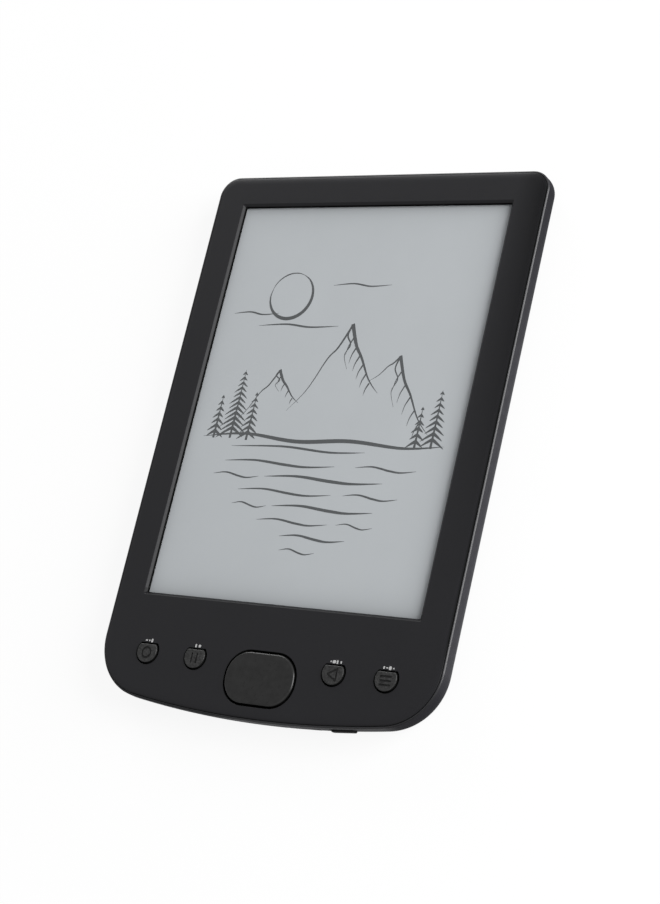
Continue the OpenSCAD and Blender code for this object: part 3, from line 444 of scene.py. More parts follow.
def dShape(r, flat, corner, steps=44, cornerSteps=6):  # disc with a flat side towards +Y and rounded corners
    cx = math.sqrt((r - corner) ** 2 - (flat - corner) ** 2)
    cy = flat - corner
    edge = math.degrees(math.atan2(cy, cx))
    return (arc(cx, cy, corner, edge, 90, cornerSteps) + arc(-cx, cy, corner, 90, 180 - edge, cornerSteps)
            + arc(0, 0, r, 180 - edge, 360 + edge, steps)[1:-1])


def moved(outline, x, y):
    return [(x + px, y + py) for px, py in outline]


def quarter(steps):  # across and up shares of a quarter ellipse, starting upright
    turns = [math.pi / 2 * i / steps for i in range(steps + 1)]
    return [(1 - math.cos(a), math.sin(a)) for a in turns]


def prism(outline, low, high):
    return ringMesh("prism", [level(outline, low), level(outline, high)])


# Case outline

caseForm = {
    "width": 114, "height": 168, "thick": 9, "topCorner": 6.2, "bottomCorner": 17.3, "leastCorner": 0.5,
    "bow": 310, "wall": 1.6, "floor": 1.4, "backRound": 5.7, "uprightLow": 5.85, "rim": 8.5, "ledge": 7.5,
    "lip": 0.55, "lipChamfer": 0.3, "lipSoft": 0.06, "lipEase": 0.4, "lipGap": 0.12,
    "topSteps": 16, "bottomSteps": 30, "bowSteps": 36}


def caseRing(inset):
    f = caseForm
    top = f["height"] / 2
    side = f["width"] / 2 - inset
    bowY = f["bow"] - top
    bow = f["bow"] - inset
    rt = max(f["topCorner"] - inset, f["leastCorner"])
    rb = f["bottomCorner"] - inset
    tx, ty = side - rt, top - inset - rt
    bx = side - rb
    by = bowY - math.sqrt((bow - rb) ** 2 - bx ** 2)
    tilt = math.degrees(math.asin(bx / (bow - rb)))
    return (arc(tx, ty, rt, 0, 90, f["topSteps"]) + arc(-tx, ty, rt, 90, 180, f["topSteps"])
            + arc(-bx, by, rb, 180, 270 - tilt, f["bottomSteps"])
            + arc(0, bowY, bow, 270 - tilt, 270 + tilt, f["bowSteps"])[1:-1]
            + arc(bx, by, rb, 270 + tilt, 360, f["bottomSteps"]))


def bottomEdge(x, inset):  # y of the bowed edge
    return caseForm["bow"] - caseForm["height"] / 2 - math.sqrt((caseForm["bow"] - inset) ** 2 - x ** 2)


# Rear cover

coverTint, rimTint = (1, 0.985, 1.2), (1, 1, 1.1)
# the cover's painted-shade colour, with the side, left, corner, foot and hole settings, paints shade on the
# cover
coverLook = {
    "dark": grey(0.011, coverTint), "light": grey(0.018, coverTint), "cloudSize": 2.5, "contrast": 2.2,
    "grainSize": 0.35, "grainDepth": 0.02, "roughness": 0.55, "shine": 0.15, "paintedShade": grey(0.007, coverTint),
    "sideFrom": 18, "sideFade": 100, "footShare": 0.1, "leftFrom": -4, "leftFade": 10, "leftShare": 0.5,
    "cornerFrom": 42, "cornerFade": 4, "cornerShare": 0.5, "turnGain": 2.4, "holeY": -74,
    "holes": [  # small lower holes with painted shade: middle x and z, half width and height, squareness
        (10.5, 4.9, 0.86, 0.86, 2), (20, 5.1, 1.38, 0.78, 8), (28.7, 5.4, 4.28, 1.33, 8)]}
# the rim's painted-shade colour paints shade on the rim at its foot
rimLook = {
    "dark": grey(0.014, rimTint), "light": grey(0.022, rimTint), "cloudSize": 8,
    "grainSize": 0.4, "grainDepth": 0.003, "roughness": 0.34, "shine": 0.22, "paintedShade": grey(0.01, rimTint)}
coverForm = {
    "roundSteps": 18, "bossD": 3.2, "pilotD": 1.7, "postSides": 24, "sink": 0.5, "over": 1, "rimSlack": 0.1,
    "plateBosses": [(52.4, 69.85), (52.4, 11.85), (52.4, -50.15)], "plateBossTop": 5.57, "platePilot": 2.37,
    "boardBosses": [(47, 58), (47, -30), (-46, 64), (-46, -60), (15, -60)], "boardBossTop": 3.4,
    "boardPilot": 1.6, "ribs": [(-45.8, -27), (-45.8, 27), (15.8, -27), (15.8, 27)], "rib": (1, 14),
    "ribTop": 3.1}
portForm = {  # x, z, width, height and corner of an oblong hole; x, z and radius of a round one
    "usb": (0, 5.65, 8.0, 3.0, 0.9), "jack": (34, 3.75, 2.55), "card": (-30, 2.5, 11.6, 0.8, 0.25),
    "power": (28.7, 5.4, 8.2, 2.3, 0.95), "light": (20, 5.1, 2.4, 1.2, 0.5), "reset": (10.5, 4.9, 0.75),
    "headEnd": 77, "footEnd": -79, "flare": 0.18, "flareEase": (0.4, 0.5), "mouth": (0.6, 0.4),
    "jackSides": 60, "resetSides": 36, "resetFlare": 0.6,
    "cardReach": (76, 90), "scoopR": 5, "scoopY": 86.9, "scoopW": 14.4, "scoopSides": 120}


def coverRings():
    f = caseForm
    turn = quarter(coverForm["roundSteps"])
    rings = [level(caseRing(f["backRound"] * (1 - up)), f["uprightLow"] * across) for across, up in turn]
    flat, soft = f["lipChamfer"], f["lipSoft"]
    ease, depth = soft * f["lipEase"], f["rim"] - f["ledge"]
    lip = [(0, flat + soft), (ease, flat - ease), (flat - ease, ease), (flat + soft, 0),
           (f["lip"] - soft, 0), (f["lip"], soft), (f["lip"], depth), (f["wall"], depth)]
    rings += [level(caseRing(inset), f["rim"] - drop) for inset, drop in lip]
    for across, up in reversed(turn):  # down the inside to the floor
        inset = f["wall"] + (f["backRound"] - f["wall"]) * (1 - up)
        rings.append(level(caseRing(inset), f["uprightLow"] - (f["uprightLow"] - f["floor"]) * (1 - across)))
    return rings


def flaredHole(outlineAt, outside, inside, x, z):  # a hole through a wall, wider at its outer edge
    flare, (ease, into), (wide, before) = portForm["flare"], portForm["flareEase"], portForm["mouth"]
    way = 1 if inside > outside else -1
    steps = [(wide, outside - way * before), (flare, outside), (flare * ease, outside + way * flare * into),
             (0, outside + way * flare), (0, inside)]
    return mended(ringMesh("hole", turned([level(outlineAt(grow), y) for grow, y in steps], (x, 0, z))))


def oblongHole(part, outside, inside):
    x, z, w, h, r = portForm[part]
    return flaredHole(lambda g: roundRect(w + 2 * g, h + 2 * g, r + g), outside, inside, x, z)


def roundHole(part, outside, inside, flareShare=1):
    x, z, r = portForm[part]
    sides = portForm[part + "Sides"]
    return flaredHole(lambda g: circle(0, 0, r + g * flareShare, sides), outside, inside, x, z)


def wallHoles():
    f = portForm
    head = caseForm["height"] / 2
    foot = {part: bottomEdge(f[part][0], 0) for part in ("power", "light", "reset")}
    return joined("holes", [
        oblongHole("usb", head, f["headEnd"]), roundHole("jack", head, f["headEnd"]),
        oblongHole("power", foot["power"], f["footEnd"]), oblongHole("light", foot["light"], f["footEnd"]),
        roundHole("reset", foot["reset"], f["footEnd"], f["resetFlare"])])


def cardCuts():
    f = portForm
    x, z, w, h, r = f["card"]
    slot = ringMesh("slot", turned([level(roundRect(w, h, r), y) for y in f["cardReach"]], (x, 0, z)))
    scooped = circle(f["scoopY"], z, f["scoopR"], f["scoopSides"])
    ends = (x - f["scoopW"] / 2, x + f["scoopW"] / 2)
    return slot, ringMesh("scoop", [[(end, y, up) for y, up in scooped] for end in ends])


def insideParts():
    f = coverForm
    low = caseForm["floor"] - f["sink"]
    places = [(s * x, y, f["plateBossTop"], f["platePilot"]) for s in (-1, 1) for x, y in f["plateBosses"]]
    places += [(x, y, f["boardBossTop"], f["boardPilot"]) for x, y in f["boardBosses"]]
    raised, pilots = [], []
    for x, y, top, pilot in places:
        raised.append(prism(circle(x, y, f["bossD"] / 2, f["postSides"]), low, top))
        pilots.append(prism(circle(x, y, f["pilotD"] / 2, f["postSides"]), pilot, top + f["over"]))
    w, h = f["rib"]
    raised += [prism(rectangle(x - w / 2, x + w / 2, y - h / 2, y + h / 2), low, f["ribTop"])
               for x, y in f["ribs"]]
    return joined("raised", raised), joined("pilots", pilots)


def paintedCoverShade(sideShare):  # painted shade: darker and without gloss at the lower corners and up the side, and inside the small lower holes
    look = coverLook

    def share(bench, spot):
        across, along, _ = bench.slope()
        x, y, z = bench.axes(spot)
        side = bench.ramp(y, look["sideFrom"], look["sideFade"]) * bench.limited(across) * sideShare
        left = bench.ramp(x, look["leftFrom"], -look["leftFade"]) * look["leftShare"]
        corner = bench.ramp(x, look["cornerFrom"], look["cornerFade"]) * look["cornerShare"]
        foot = bench.limited(along * -look["turnGain"]) * (left + corner + look["footShare"])
        inHole = 0
        for middle, up, half, tall, square in look["holes"]:
            fromX = bench.size(x - middle * mm) * (1 / (half * mm))
            fromZ = bench.size(z - up * mm) * (1 / (tall * mm))
            inHole = inHole + (fromX ** square + fromZ ** square < 1)
        return bench.larger(foot + side, inHole * (y < look["holeY"] * mm))
    return share


raisedParts, pilotHoles = insideParts()
cardSlot, cardScoop = cardCuts()
coverMesh = carved(ringMesh("rearShell", coverRings()), [
    ("UNION", raisedParts), ("DIFFERENCE", pilotHoles), ("DIFFERENCE", wallHoles()),
    ("DIFFERENCE", cardScoop), ("DIFFERENCE", cardSlot)])
# the cover's finish paints shade at its lower corners, up its side and in the small lower holes
rearShell = newPiece("rearShell", coverMesh, "housing", mouldedFinish("mattCover", coverLook, paintedCoverShade(1.0)),
                     ["rear_cover"])
# the rim's finish paints shade at its foot as well
coverMesh.materials.append(mouldedFinish("polishedRim", rimLook, paintedCoverShade(0.0)))
rimLow = caseForm["rim"] - caseForm["lipChamfer"] - coverForm["rimSlack"]
for face in coverMesh.polygons:  # the lip's sloped edge is burnished
    face.material_index = int(min(coverMesh.vertices[i].co.z for i in face.vertices) / mm > rimLow)
softEdges(rearShell)
print("rear cover:", len(coverMesh.polygons), "faces")


# Front bezel

bezelTint = (1, 1, 1.16)
# the bezel's painted-shade colour, with the edge, foot, window, hole and far settings, paints shade on the
# bezel
bezelLook = {
    "dark": grey(0.0074, bezelTint), "light": grey(0.0106, bezelTint), "cloudSize": 22, "grainSize": 0.3,
    "grainDepth": 0.004, "roughness": 0.43, "glossSpread": 0.1, "shine": 0.15, "paintedShade": grey(0.004),
    "glance": 0.92, "edgeTop": 8.9, "edgeFade": 0.22, "edgeReach": 79, "edgeFoot": 0.6, "edgeFootFrom": -55,
    "edgeFootFade": 10, "footTop": 8.98, "footFade": 0.1, "footFrom": -49, "footShare": 0.4,
    "windowTop": 8.42, "windowFade": 0.22, "holeTop": 8.985, "holeFade": 0.1,
    "holeZones": [(44.6, -72.2, -63.5), (12.6, -80.6, -63.5)],  # keys and pad: half width, low and high y
    "farX": (47, 8), "farY": (-45, 120), "farShare": 0.5}  # where the painted shade of the far side starts, and over how far
bezelForm = {
    "edgeW": 2.2, "edgeH": 0.35, "edgeSteps": 10, "windowW": 92.2, "windowH": 124, "windowR": 0.4,
    "windowSteps": 4, "windowLow": 7, "bevelW": 0.85, "bevelSoft": 0.1, "bevelEase": (0.5, 0.35, 0.2, 0.4),
    "screenY": 11.85, "holeRound": 0.26, "holeSteps": 3, "holeLow": 6, "holeSlack": 0.01, "keyCorner": 0.5,
    "over": 1, "collarInto": 0.2,
    "gasketOut": (96.2, 128), "gasketIn": (92.6, 124.4), "gasketR": 0.2, "gasketSteps": 2, "gasketTop": 7.7}
keyForm = {
    "places": {"far_left": -40.2, "near_left": -23.3, "near_right": 23.3, "far_right": 40.2}, "y": -67.85,
    "r": 3.45, "flat": 2.1, "corner": 0.6, "cornerShare": 0.6, "gap": 0.36, "top": 9.5, "edge": 0.34,
    "edgeSteps": 6, "flangeR": 4.25, "flangeFlat": 2.9, "flangeCorner": 0.45, "flangeLow": 6.9,
    "flangeTop": 7.5, "stemR": 1.5, "stemLow": 4.78, "stemSides": 72, "ringPoints": 96, "collarR": 5.2,
    "collarSides": 60, "collarLow": 6.4, "guideGap": 0.15}
padForm = {
    "y": -72, "w": 22.9, "h": 15, "r": 7, "gap": 0.5, "top": 9.6, "crown": 0.1, "edge": 0.7, "edgeSteps": 8,
    "cornerSteps": 20, "crownAt": (0.25, 0.5, 0.75, 0.97), "crownReach": 0.9, "lip": 0.8, "flangeLow": 6.35,
    "flangeTop": 6.85, "wall": 1.2, "under": 8.4, "into": 0.3, "bossR": 2.2, "bossSides": 48, "nubR": 0.8,
    "nubSides": 24, "nubLow": 4.93, "nubX": 8.6, "nubY": 5.2, "ballZ": 6.2, "ballR": 1.04,
    "ballSides": (32, 16), "collarLow": 6.15, "collarIn": 0.95, "collarOut": 1.75}


def screenOutline(w, h, r, steps):
    return moved(roundRect(w, h, r, steps), 0, bezelForm["screenY"])


def keyOutline(x, grow, corner, r=keyForm["r"], flat=keyForm["flat"]):
    return moved(dShape(r + grow, flat + grow, corner), x, keyForm["y"])


def padOutline(grow, steps=10):
    p = padForm
    return moved(roundRect(p["w"] + 2 * grow, p["h"] + 2 * grow, p["r"] + grow, steps), 0, p["y"])


def bezelRings():
    f, case = bezelForm, caseForm
    inset = case["lip"] + case["lipGap"]
    rings = [level(caseRing(inset), case["ledge"])]
    for across, up in quarter(f["edgeSteps"]):
        rings.append(level(caseRing(inset + f["edgeW"] * across), case["thick"] - f["edgeH"] * (1 - up)))
    return rings


def windowCut():
    f = bezelForm
    face, wide, soft = caseForm["thick"], f["bevelW"], f["bevelSoft"]
    below, foot, near, brim = f["bevelEase"]
    steps = [(0, f["windowLow"]), (0, face - wide - soft * below), (soft * foot, face - wide + soft * foot),
             (wide - soft, face - soft), (wide - soft * near, face - soft * brim), (wide + soft, face),
             (wide + soft, face + f["over"])]
    return ringMesh("window", [
        level(screenOutline(f["windowW"] + 2 * g, f["windowH"] + 2 * g, f["windowR"], f["windowSteps"]), z)
        for g, z in steps])


def roundedCut(outlineAt):  # opening in the face with a small rounding along its edge
    f = bezelForm
    face, r = caseForm["thick"], f["holeRound"]
    steps = [(0, f["holeLow"])] + [(r * across, face - r + r * up) for across, up in quarter(f["holeSteps"])]
    steps.append((r + f["holeSlack"], face + f["over"]))
    return ringMesh("opening", [level(outlineAt(g), z) for g, z in steps])


def faceCuts():
    gap, corner = keyForm["gap"], bezelForm["keyCorner"]
    cuts = [roundedCut(lambda g: keyOutline(x, gap + g, corner + g)) for x in keyForm["places"].values()]
    cuts.append(roundedCut(lambda g: padOutline(padForm["gap"] + g)))
    return joined("faceCuts", cuts)


def faceCollars():  # guides under the face, for the keys and the pad
    k, p = keyForm, padForm
    ledge, over = caseForm["ledge"], bezelForm["over"]
    into = ledge + bezelForm["collarInto"]
    rims, bores = [], []
    for x in k["places"].values():
        bore = keyOutline(x, k["guideGap"], bezelForm["keyCorner"], k["flangeR"], k["flangeFlat"])
        rims.append(prism(circle(x, k["y"], k["collarR"], k["collarSides"]), k["collarLow"], into))
        bores.append(prism(bore, k["collarLow"] - over, ledge))
    rims.append(prism(padOutline(p["collarOut"]), p["collarLow"], into))
    bores.append(prism(padOutline(p["collarIn"]), p["collarLow"] - over, ledge))
    return joined("rims", rims), joined("bores", bores)


tabForm = {
    "profile": [(-1, 0), (0, 0), (0, 0.2), (0.4, 0.55), (0, 0.9), (0, 2.3), (-1, 2.3)], "low": 5.4, "w": 9,
    "side": 55.25, "sideY": 32, "head": 82.25, "headX": 18}


def snapTabs():
    f = tabForm
    ends = (-f["w"] / 2, f["w"] / 2)
    profile = [(out, f["low"] + up) for out, up in f["profile"]]
    tabs = []
    for s in (-1, 1):
        for y in (bezelForm["screenY"] + f["sideY"], bezelForm["screenY"] - f["sideY"]):
            tabs.append([[(s * (f["side"] + out), y + end, z) for out, z in profile] for end in ends])
        tabs.append([[(s * f["headX"] + end, f["head"] + out, z) for out, z in profile] for end in ends])
    return joined("tabs", [mended(ringMesh("tab", rings)) for rings in tabs])


def gasketGroove():
    f = bezelForm
    inner = screenOutline(*f["gasketIn"], f["gasketR"], f["gasketSteps"])
    outer = screenOutline(*f["gasketOut"], f["gasketR"], f["gasketSteps"])
    low, high = f["windowLow"], f["gasketTop"]
    steps = [(inner, low), (outer, low), (outer, high), (inner, high)]
    return openRing(ringMesh("groove", [level(outline, z) for outline, z in steps]))


def bezelPaintedShade(bench, spot):  # painted shade, darker and without gloss: in the openings and on the outermost edge, less at the far side and at the foot of the window
    f, look = bezelForm, bezelLook
    x, y, z = bench.axes(spot)

    def below(zone):
        return bench.ramp(z, look[zone + "Top"], -look[zone + "Fade"])

    margin = f["bevelW"] + f["bevelSoft"]
    beyond = bench.larger(bench.size(x) - (f["windowW"] / 2 + margin) * mm,
                          bench.size(y - f["screenY"] * mm) - (f["windowH"] / 2 + margin) * mm)
    keys, pad = [(bench.size(x) < wide * mm) * (y > low * mm) * (y < high * mm)
                 for wide, low, high in look["holeZones"]]
    edgeFoot = bench.ramp(y, look["edgeFootFrom"], -look["edgeFootFade"]) * look["edgeFoot"]
    edge = below("edge") * (beyond > 0) * (y < look["edgeReach"] * mm) * (1 - edgeFoot)
    far = bench.ramp(x, *look["farX"]) * bench.ramp(y, *look["farY"]) * look["farShare"]
    foot = below("foot") * (beyond < 0) * (y < look["footFrom"] * mm) * look["footShare"]
    return bench.larger(edge, below("window"), below("hole") * bench.larger(keys, pad), far, foot)


collarRims, collarBores = faceCollars()
bezelMesh = carved(ringMesh("frontFace", bezelRings()), [
    ("UNION", joined("underParts", [collarRims, snapTabs()])), ("DIFFERENCE", collarBores),
    ("DIFFERENCE", gasketGroove()), ("DIFFERENCE", windowCut()), ("DIFFERENCE", faceCuts())])
frontFace = newPiece("frontFace", bezelMesh, "housing", mouldedFinish("satinBezel", bezelLook, bezelPaintedShade),
                     ["front_bezel"])
softEdges(frontFace)
print("front bezel:", len(bezelMesh.polygons), "faces")


# Printed marks over the keys: plain dashes and dots

markLook = {
    "dark": grey(0.3), "light": grey(0.5), "cloudSize": 0.5, "grainSize": 0.12, "grainDepth": 0.002,
    "roughness": 0.5, "shine": 0.3}
markForm = {  # each mark: its middle's x, width, height
    "up": 3.2, "thick": 0.012, "sunk": 0.02, "roundShare": 0.42, "steps": 5,
    "far_left": [(-1.2, 0.8, 0.35), (-0.2, 0.5, 0.5), (0.75, 0.62, 1.1)],
    "near_left": [(-0.55, 0.55, 1.0), (0.75, 0.85, 0.85)],
    "near_right": [(-1.5, 0.4, 0.45), (-0.45, 1.1, 0.9), (0.6, 0.5, 1.1), (1.75, 0.42, 0.75)],
    "far_right": [(-1.45, 0.5, 0.8), (-0.5, 0.6, 0.35), (0.5, 0.85, 1.05), (1.6, 0.45, 0.45)]}


def keyMarks():
    f = markForm
    low, high = caseForm["thick"] - f["sunk"], caseForm["thick"] + f["thick"]
    dots = []
    for name, x in keyForm["places"].items():
        for offset, w, h in f[name]:
            outline = roundRect(w, h, min(w, h) * f["roundShare"], f["steps"])
            dots.append(prism(moved(outline, x + offset, keyForm["y"] + f["up"]), low, high))
    return joined("keyMarks", dots)


softEdges(newPiece("keyMarks", keyMarks(), "housing", mouldedFinish("paleInk", markLook)))
print("marks printed")


# Keys, with plain symbols pressed in: ring, two bars, triangle and three lines

# the key's painted-shade colour below the given height paints shade down its sides and in its pressed symbols
keyLook = {
    "dark": grey(0.003), "light": grey(0.034), "cloudSize": 0.6, "grainSize": 0.4, "grainDepth": 0.12,
    "roughness": 0.4, "glossSpread": 0.3, "shine": 0.2, "contrast": 2.6, "paintedShade": grey(0.005), "glance": 0.92,
    "paintedShadeTop": 9.4, "paintedShadeFade": 0.2}
symbolForm = {
    "depth": 0.2, "over": 0.2, "down": 0.5, "edge": 0.06, "ring": (1.8, 1.15), "ringSides": 45,
    "bar": (0.66, 3.0, 0.26), "bars": [(-0.85, 0), (0.85, 0)],
    "line": (3.7, 0.56, 0.24), "lines": [(0, -1.2), (0, 0), (0, 1.2)], "steps": 4,
    "triangle": (2.5, 0.25), "triangleHole": (1.35, 0.2), "triangleX": 0.35, "triangleGrow": 1.5,
    "triangleSteps": 6}


def pressedForm(outlineAt, holeAt=None):  # a shallow cut with sloping sides, around an island if it has a hole
    f = symbolForm
    low, high, slope = keyForm["top"] - f["depth"], keyForm["top"] + f["over"], f["edge"]
    sides = [level(outlineAt(-slope), low), level(outlineAt(slope), high)]
    if holeAt is None:
        return ringMesh("symbol", sides)
    return openRing(ringMesh("symbol", [level(holeAt(slope), low), *sides, level(holeAt(-slope), high)]))


def roundTriangle(size, corner):  # pointing to the left
    reach = size - 2 * corner
    points = [(reach * math.cos(math.radians(a)), reach * math.sin(math.radians(a)), a) for a in (60, 180, 300)]
    return [p for x, y, a in points for p in arc(x, y, corner, a - 60, a + 60, symbolForm["triangleSteps"])]


def pressedStrips(size, places, x, y):
    w, h, r = size
    steps = symbolForm["steps"]
    return joined("strips", [
        pressedForm(lambda g: moved(roundRect(w + 2 * g, h + 2 * g, r + g, steps), x + dx, y + dy))
        for dx, dy in places])


def symbolCut(name, x):
    f = symbolForm
    y = keyForm["y"] - f["down"]

    def disc(r):
        return lambda g: circle(x, y, r + g, f["ringSides"])

    def triangle(size, corner):
        return lambda g: moved(roundTriangle(size + f["triangleGrow"] * g, corner), x + f["triangleX"], y)

    if name == "far_left":
        return pressedForm(disc(f["ring"][0]), disc(f["ring"][1]))
    if name == "near_left":
        return pressedStrips(f["bar"], f["bars"], x, y)
    if name == "near_right":
        return pressedForm(triangle(*f["triangle"]), triangle(*f["triangleHole"]))
    return pressedStrips(f["line"], f["lines"], x, y)


def polar(outline, count):  # an outline sampled at even angles, so that rings of any shape match
    angles = sorted((math.atan2(y, x) % (2 * math.pi), x, y) for x, y in outline)
    result = []
    for i in range(count):
        a = 2 * math.pi * i / count
        later = next((k for k, p in enumerate(angles) if p[0] > a), 0)
        _, x1, y1 = angles[later - 1]
        _, x2, y2 = angles[later]
        c, s = math.cos(a), math.sin(a)
        t = (y1 * c - x1 * s) / ((y1 - y2) * c - (x1 - x2) * s)
        result.append((x1 + (x2 - x1) * t, y1 + (y2 - y1) * t))
    return result


def keyMesh(name, x):
    k = keyForm

    def ring(outline, z):
        return level(moved(polar(outline, k["ringPoints"]), x, k["y"]), z)

    stem = circle(0, 0, k["stemR"], k["stemSides"])
    flange = dShape(k["flangeR"], k["flangeFlat"], k["flangeCorner"])
    foot = dShape(k["r"], k["flat"], k["flangeCorner"])
    rings = [ring(stem, k["stemLow"]), ring(stem, k["flangeLow"]), ring(flange, k["flangeLow"]),
             ring(flange, k["flangeTop"]), ring(foot, k["flangeTop"])]
    for across, up in quarter(k["edgeSteps"]):
        inset = k["edge"] * across
        cap = dShape(k["r"] - inset, k["flat"] - inset, k["corner"] - inset * k["cornerShare"])
        rings.append(ring(cap, k["top"] - k["edge"] * (1 - up)))
    return carved(ringMesh("key", rings), [("DIFFERENCE", symbolCut(name, x))])


keyFinish = mouldedFinish("texturedKey", keyLook, paintedShadeBelow(keyLook))
for keyName, keyX in keyForm["places"].items():
    softEdges(newPiece("keyCap_" + keyName, keyMesh(keyName, keyX), "key_" + keyName, keyFinish,
                       ["key_" + keyName]))
print("keys made")


# Rocking pad

# the pad's painted-shade colour below the given height paints shade down its sides
padLook = {
    "dark": grey(0.004), "light": grey(0.013), "cloudSize": 3, "grainSize": 0.5, "grainDepth": 0.002,
    "roughness": 0.3, "glossSpread": 0.2, "shine": 0.22, "contrast": 2.0, "paintedShade": grey(0.003), "glance": 0.92,
    "paintedShadeTop": 9.2, "paintedShadeFade": 0.2}


def padMesh():
    p = padForm

    def ring(grow, z):
        return level(padOutline(grow, p["cornerSteps"]), z)

    rings = [ring(-p["wall"], p["under"]), ring(-p["wall"], p["flangeLow"]), ring(p["lip"], p["flangeLow"]),
             ring(p["lip"], p["flangeTop"]), ring(0, p["flangeTop"])]
    edgeTop = p["top"] - p["crown"]
    for across, up in quarter(p["edgeSteps"]):
        rings.append(ring(-p["edge"] * across, edgeTop - p["edge"] * (1 - up)))
    for share in p["crownAt"]:  # slight crown towards the middle
        inset = p["edge"] + (p["h"] / 2 - p["edge"]) * share * p["crownReach"]
        rings.append(ring(-inset, edgeTop + p["crown"] * (1 - (1 - share) ** 2)))
    into = p["under"] + p["into"]
    posts = [prism(circle(0, p["y"], p["bossR"], p["bossSides"]), p["flangeLow"], into)]
    for dx, dy in ((p["nubX"], 0), (-p["nubX"], 0), (0, p["nubY"]), (0, -p["nubY"])):
        posts.append(prism(circle(dx, p["y"] + dy, p["nubR"], p["nubSides"]), p["nubLow"], into))
    ball = bmesh.new()
    around, upward = p["ballSides"]
    bmesh.ops.create_uvsphere(ball, u_segments=around, v_segments=upward, radius=p["ballR"] * mm,
                              matrix=Matrix.Translation(Vector((0, p["y"], p["ballZ"])) * mm))
    seat = bpy.data.meshes.new("seat")
    ball.to_mesh(seat)
    ball.free()
    return carved(ringMesh("pad", rings), [("UNION", joined("posts", posts)), ("DIFFERENCE", seat)])


softEdges(newPiece("rockerPad", padMesh(), "nav_pad", mouldedFinish("polishedPad", padLook, paintedShadeBelow(padLook)),
                   ["nav_pad"]))
print("pad made")


# Power button

powerLook = {
    "dark": grey(0.006), "light": grey(0.012), "cloudSize": 3, "grainSize": 0.18, "grainDepth": 0.01,
    "roughness": 0.6, "shine": 0.05}
powerForm = {
    "x": 28.7, "w": 7.8, "h": 1.9, "low": 4.45, "proud": 0.4, "round": 0.3, "roundSteps": 5, "sideShare": 0.42,
    "leastSide": 0.05, "sideSteps": 8, "flangeIn": 2.05, "flangeEnd": 2.75, "flangeW": 9.8, "flangeR": 0.3,
    "nubW": 2, "nubLow": 5.0, "nubHigh": 5.8, "nubInto": 0.3, "nubEnd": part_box("power_plunger")[0][1] / mm}


def powerMesh():
    p = powerForm

    def ring(w, h, r, inset):  # bent along the bowed edge
        return [(p["x"] + x, bottomEdge(p["x"] + x, inset), p["low"] + p["h"] / 2 + z)
                for x, z in roundRect(w, h, r, p["sideSteps"])]

    spans = [(-p["round"] * (1 - up), p["round"] * across - p["proud"])
             for across, up in quarter(p["roundSteps"])]
    rings = []
    for grow, inset in spans + [(0, p["flangeIn"])]:
        h = p["h"] + 2 * grow
        rings.append(ring(p["w"] + 2 * grow, h, max(h * p["sideShare"], p["leastSide"]), inset))
    rings += [ring(p["flangeW"], p["h"], p["flangeR"], inset) for inset in (p["flangeIn"], p["flangeEnd"])]
    nubStart = bottomEdge(p["x"], p["flangeEnd"]) - p["nubInto"]
    nub = prism(rectangle(p["x"] - p["nubW"] / 2, p["x"] + p["nubW"] / 2, nubStart, p["nubEnd"]),
                p["nubLow"], p["nubHigh"])
    return carved(mended(ringMesh("power", rings)), [("UNION", nub)])


softEdges(newPiece("powerCap", powerMesh(), "power_button", mouldedFinish("mattButton", powerLook),
                   ["power_button"]))
print("power button made")


# Screen

filmTint, inkTint = (0.952, 1.0, 1.036), (0.95, 1.0, 1.03)
filmForm = {
    "w": 96.6, "h": 128.4, "r": 0.4, "low": 7.02, "top": 7.4, "edge": 0.06, "edgeEase": (0.4, 0.3), "steps": 3}
# the shade settings paint the bezel's shadow along the sheet's border
filmLook = {
    "dark": grey(0.415, filmTint), "light": grey(0.465, filmTint), "speckSize": 0.16, "speckDepth": 0.004,
    "cloudSize": 16, "roughness": 0.7, "shadeReach": 3.2, "shadeTone": grey(0.02),
    "shade": {"left": 0.06, "right": 0.0, "foot": 0.33, "head": 0.13}}
inkLook = {"dark": grey(0.075, inkTint), "light": grey(0.115, inkTint), "speckSize": 0.16}
paperBase = {
    "speckDepth": 0.002, "speckShare": 0.45, "cloudSize": 9, "roughness": 0.55, "glossSpread": 0.1,
    "shine": 0.04}


def borderShade(bench, spot, look):  # painted shade of the bezel on the sheet: largest at the window's edges, fading inwards
    x, y, _ = bench.axes(spot)
    y = y - bezelForm["screenY"] * mm
    wide, high = bezelForm["windowW"] / 2 * mm, bezelForm["windowH"] / 2 * mm
    total = 0
    for side, past in (("left", -wide - x), ("right", x - wide), ("foot", -high - y), ("head", y - high)):
        near = bench.maths("EXPONENT", past * (1 / (look["shadeReach"] * mm)))
        total = total + bench.maths("MINIMUM", near, 1.0) * look["shade"][side]
    return total


def paperFinish(name, look):  # ink film: very fine specks on slow clouds
    look = {**paperBase, **look}
    material, bench = newFinish(name)
    spot = bench.place()
    speck = bench.noise(spot, look["speckSize"], 2, 0.7)
    cloud = bench.noise(spot, look["cloudSize"], 4, 0.6)
    mottle = speck * look["speckShare"] + cloud * (1 - look["speckShare"])
    tone = bench.blend(mottle, look["dark"], look["light"])
    if "shade" in look:  # painted shade: the sheet is darkened along its border, as by the bezel's shadow
        tone = bench.blend(borderShade(bench, spot, look), tone, look["shadeTone"])
    bench.close(bench.surface({
        "Base Color": tone, "Roughness": bench.spread(speck, look["glossSpread"], look["roughness"]),
        "Specular IOR Level": look["shine"], "Normal": bench.bump(speck, look["speckDepth"])}))
    return material


def filmMesh():
    f = filmForm
    top, edge, (across, down) = f["top"], f["edge"], f["edgeEase"]
    steps = [(0, f["low"]), (0, top - edge), (-edge * across, top - edge * down), (-edge, top)]
    return ringMesh("film", [
        level(screenOutline(f["w"] + 2 * g, f["h"] + 2 * g, f["r"] + g, f["steps"]), z) for g, z in steps])


softEdges(newPiece("screenSheet", filmMesh(), "housing", paperFinish("inkFilm", filmLook),
                   ["epaper_film"]))


# Drawing shown on the screen: a made-up lake with hills, firs and a low sun, in tapered strokes

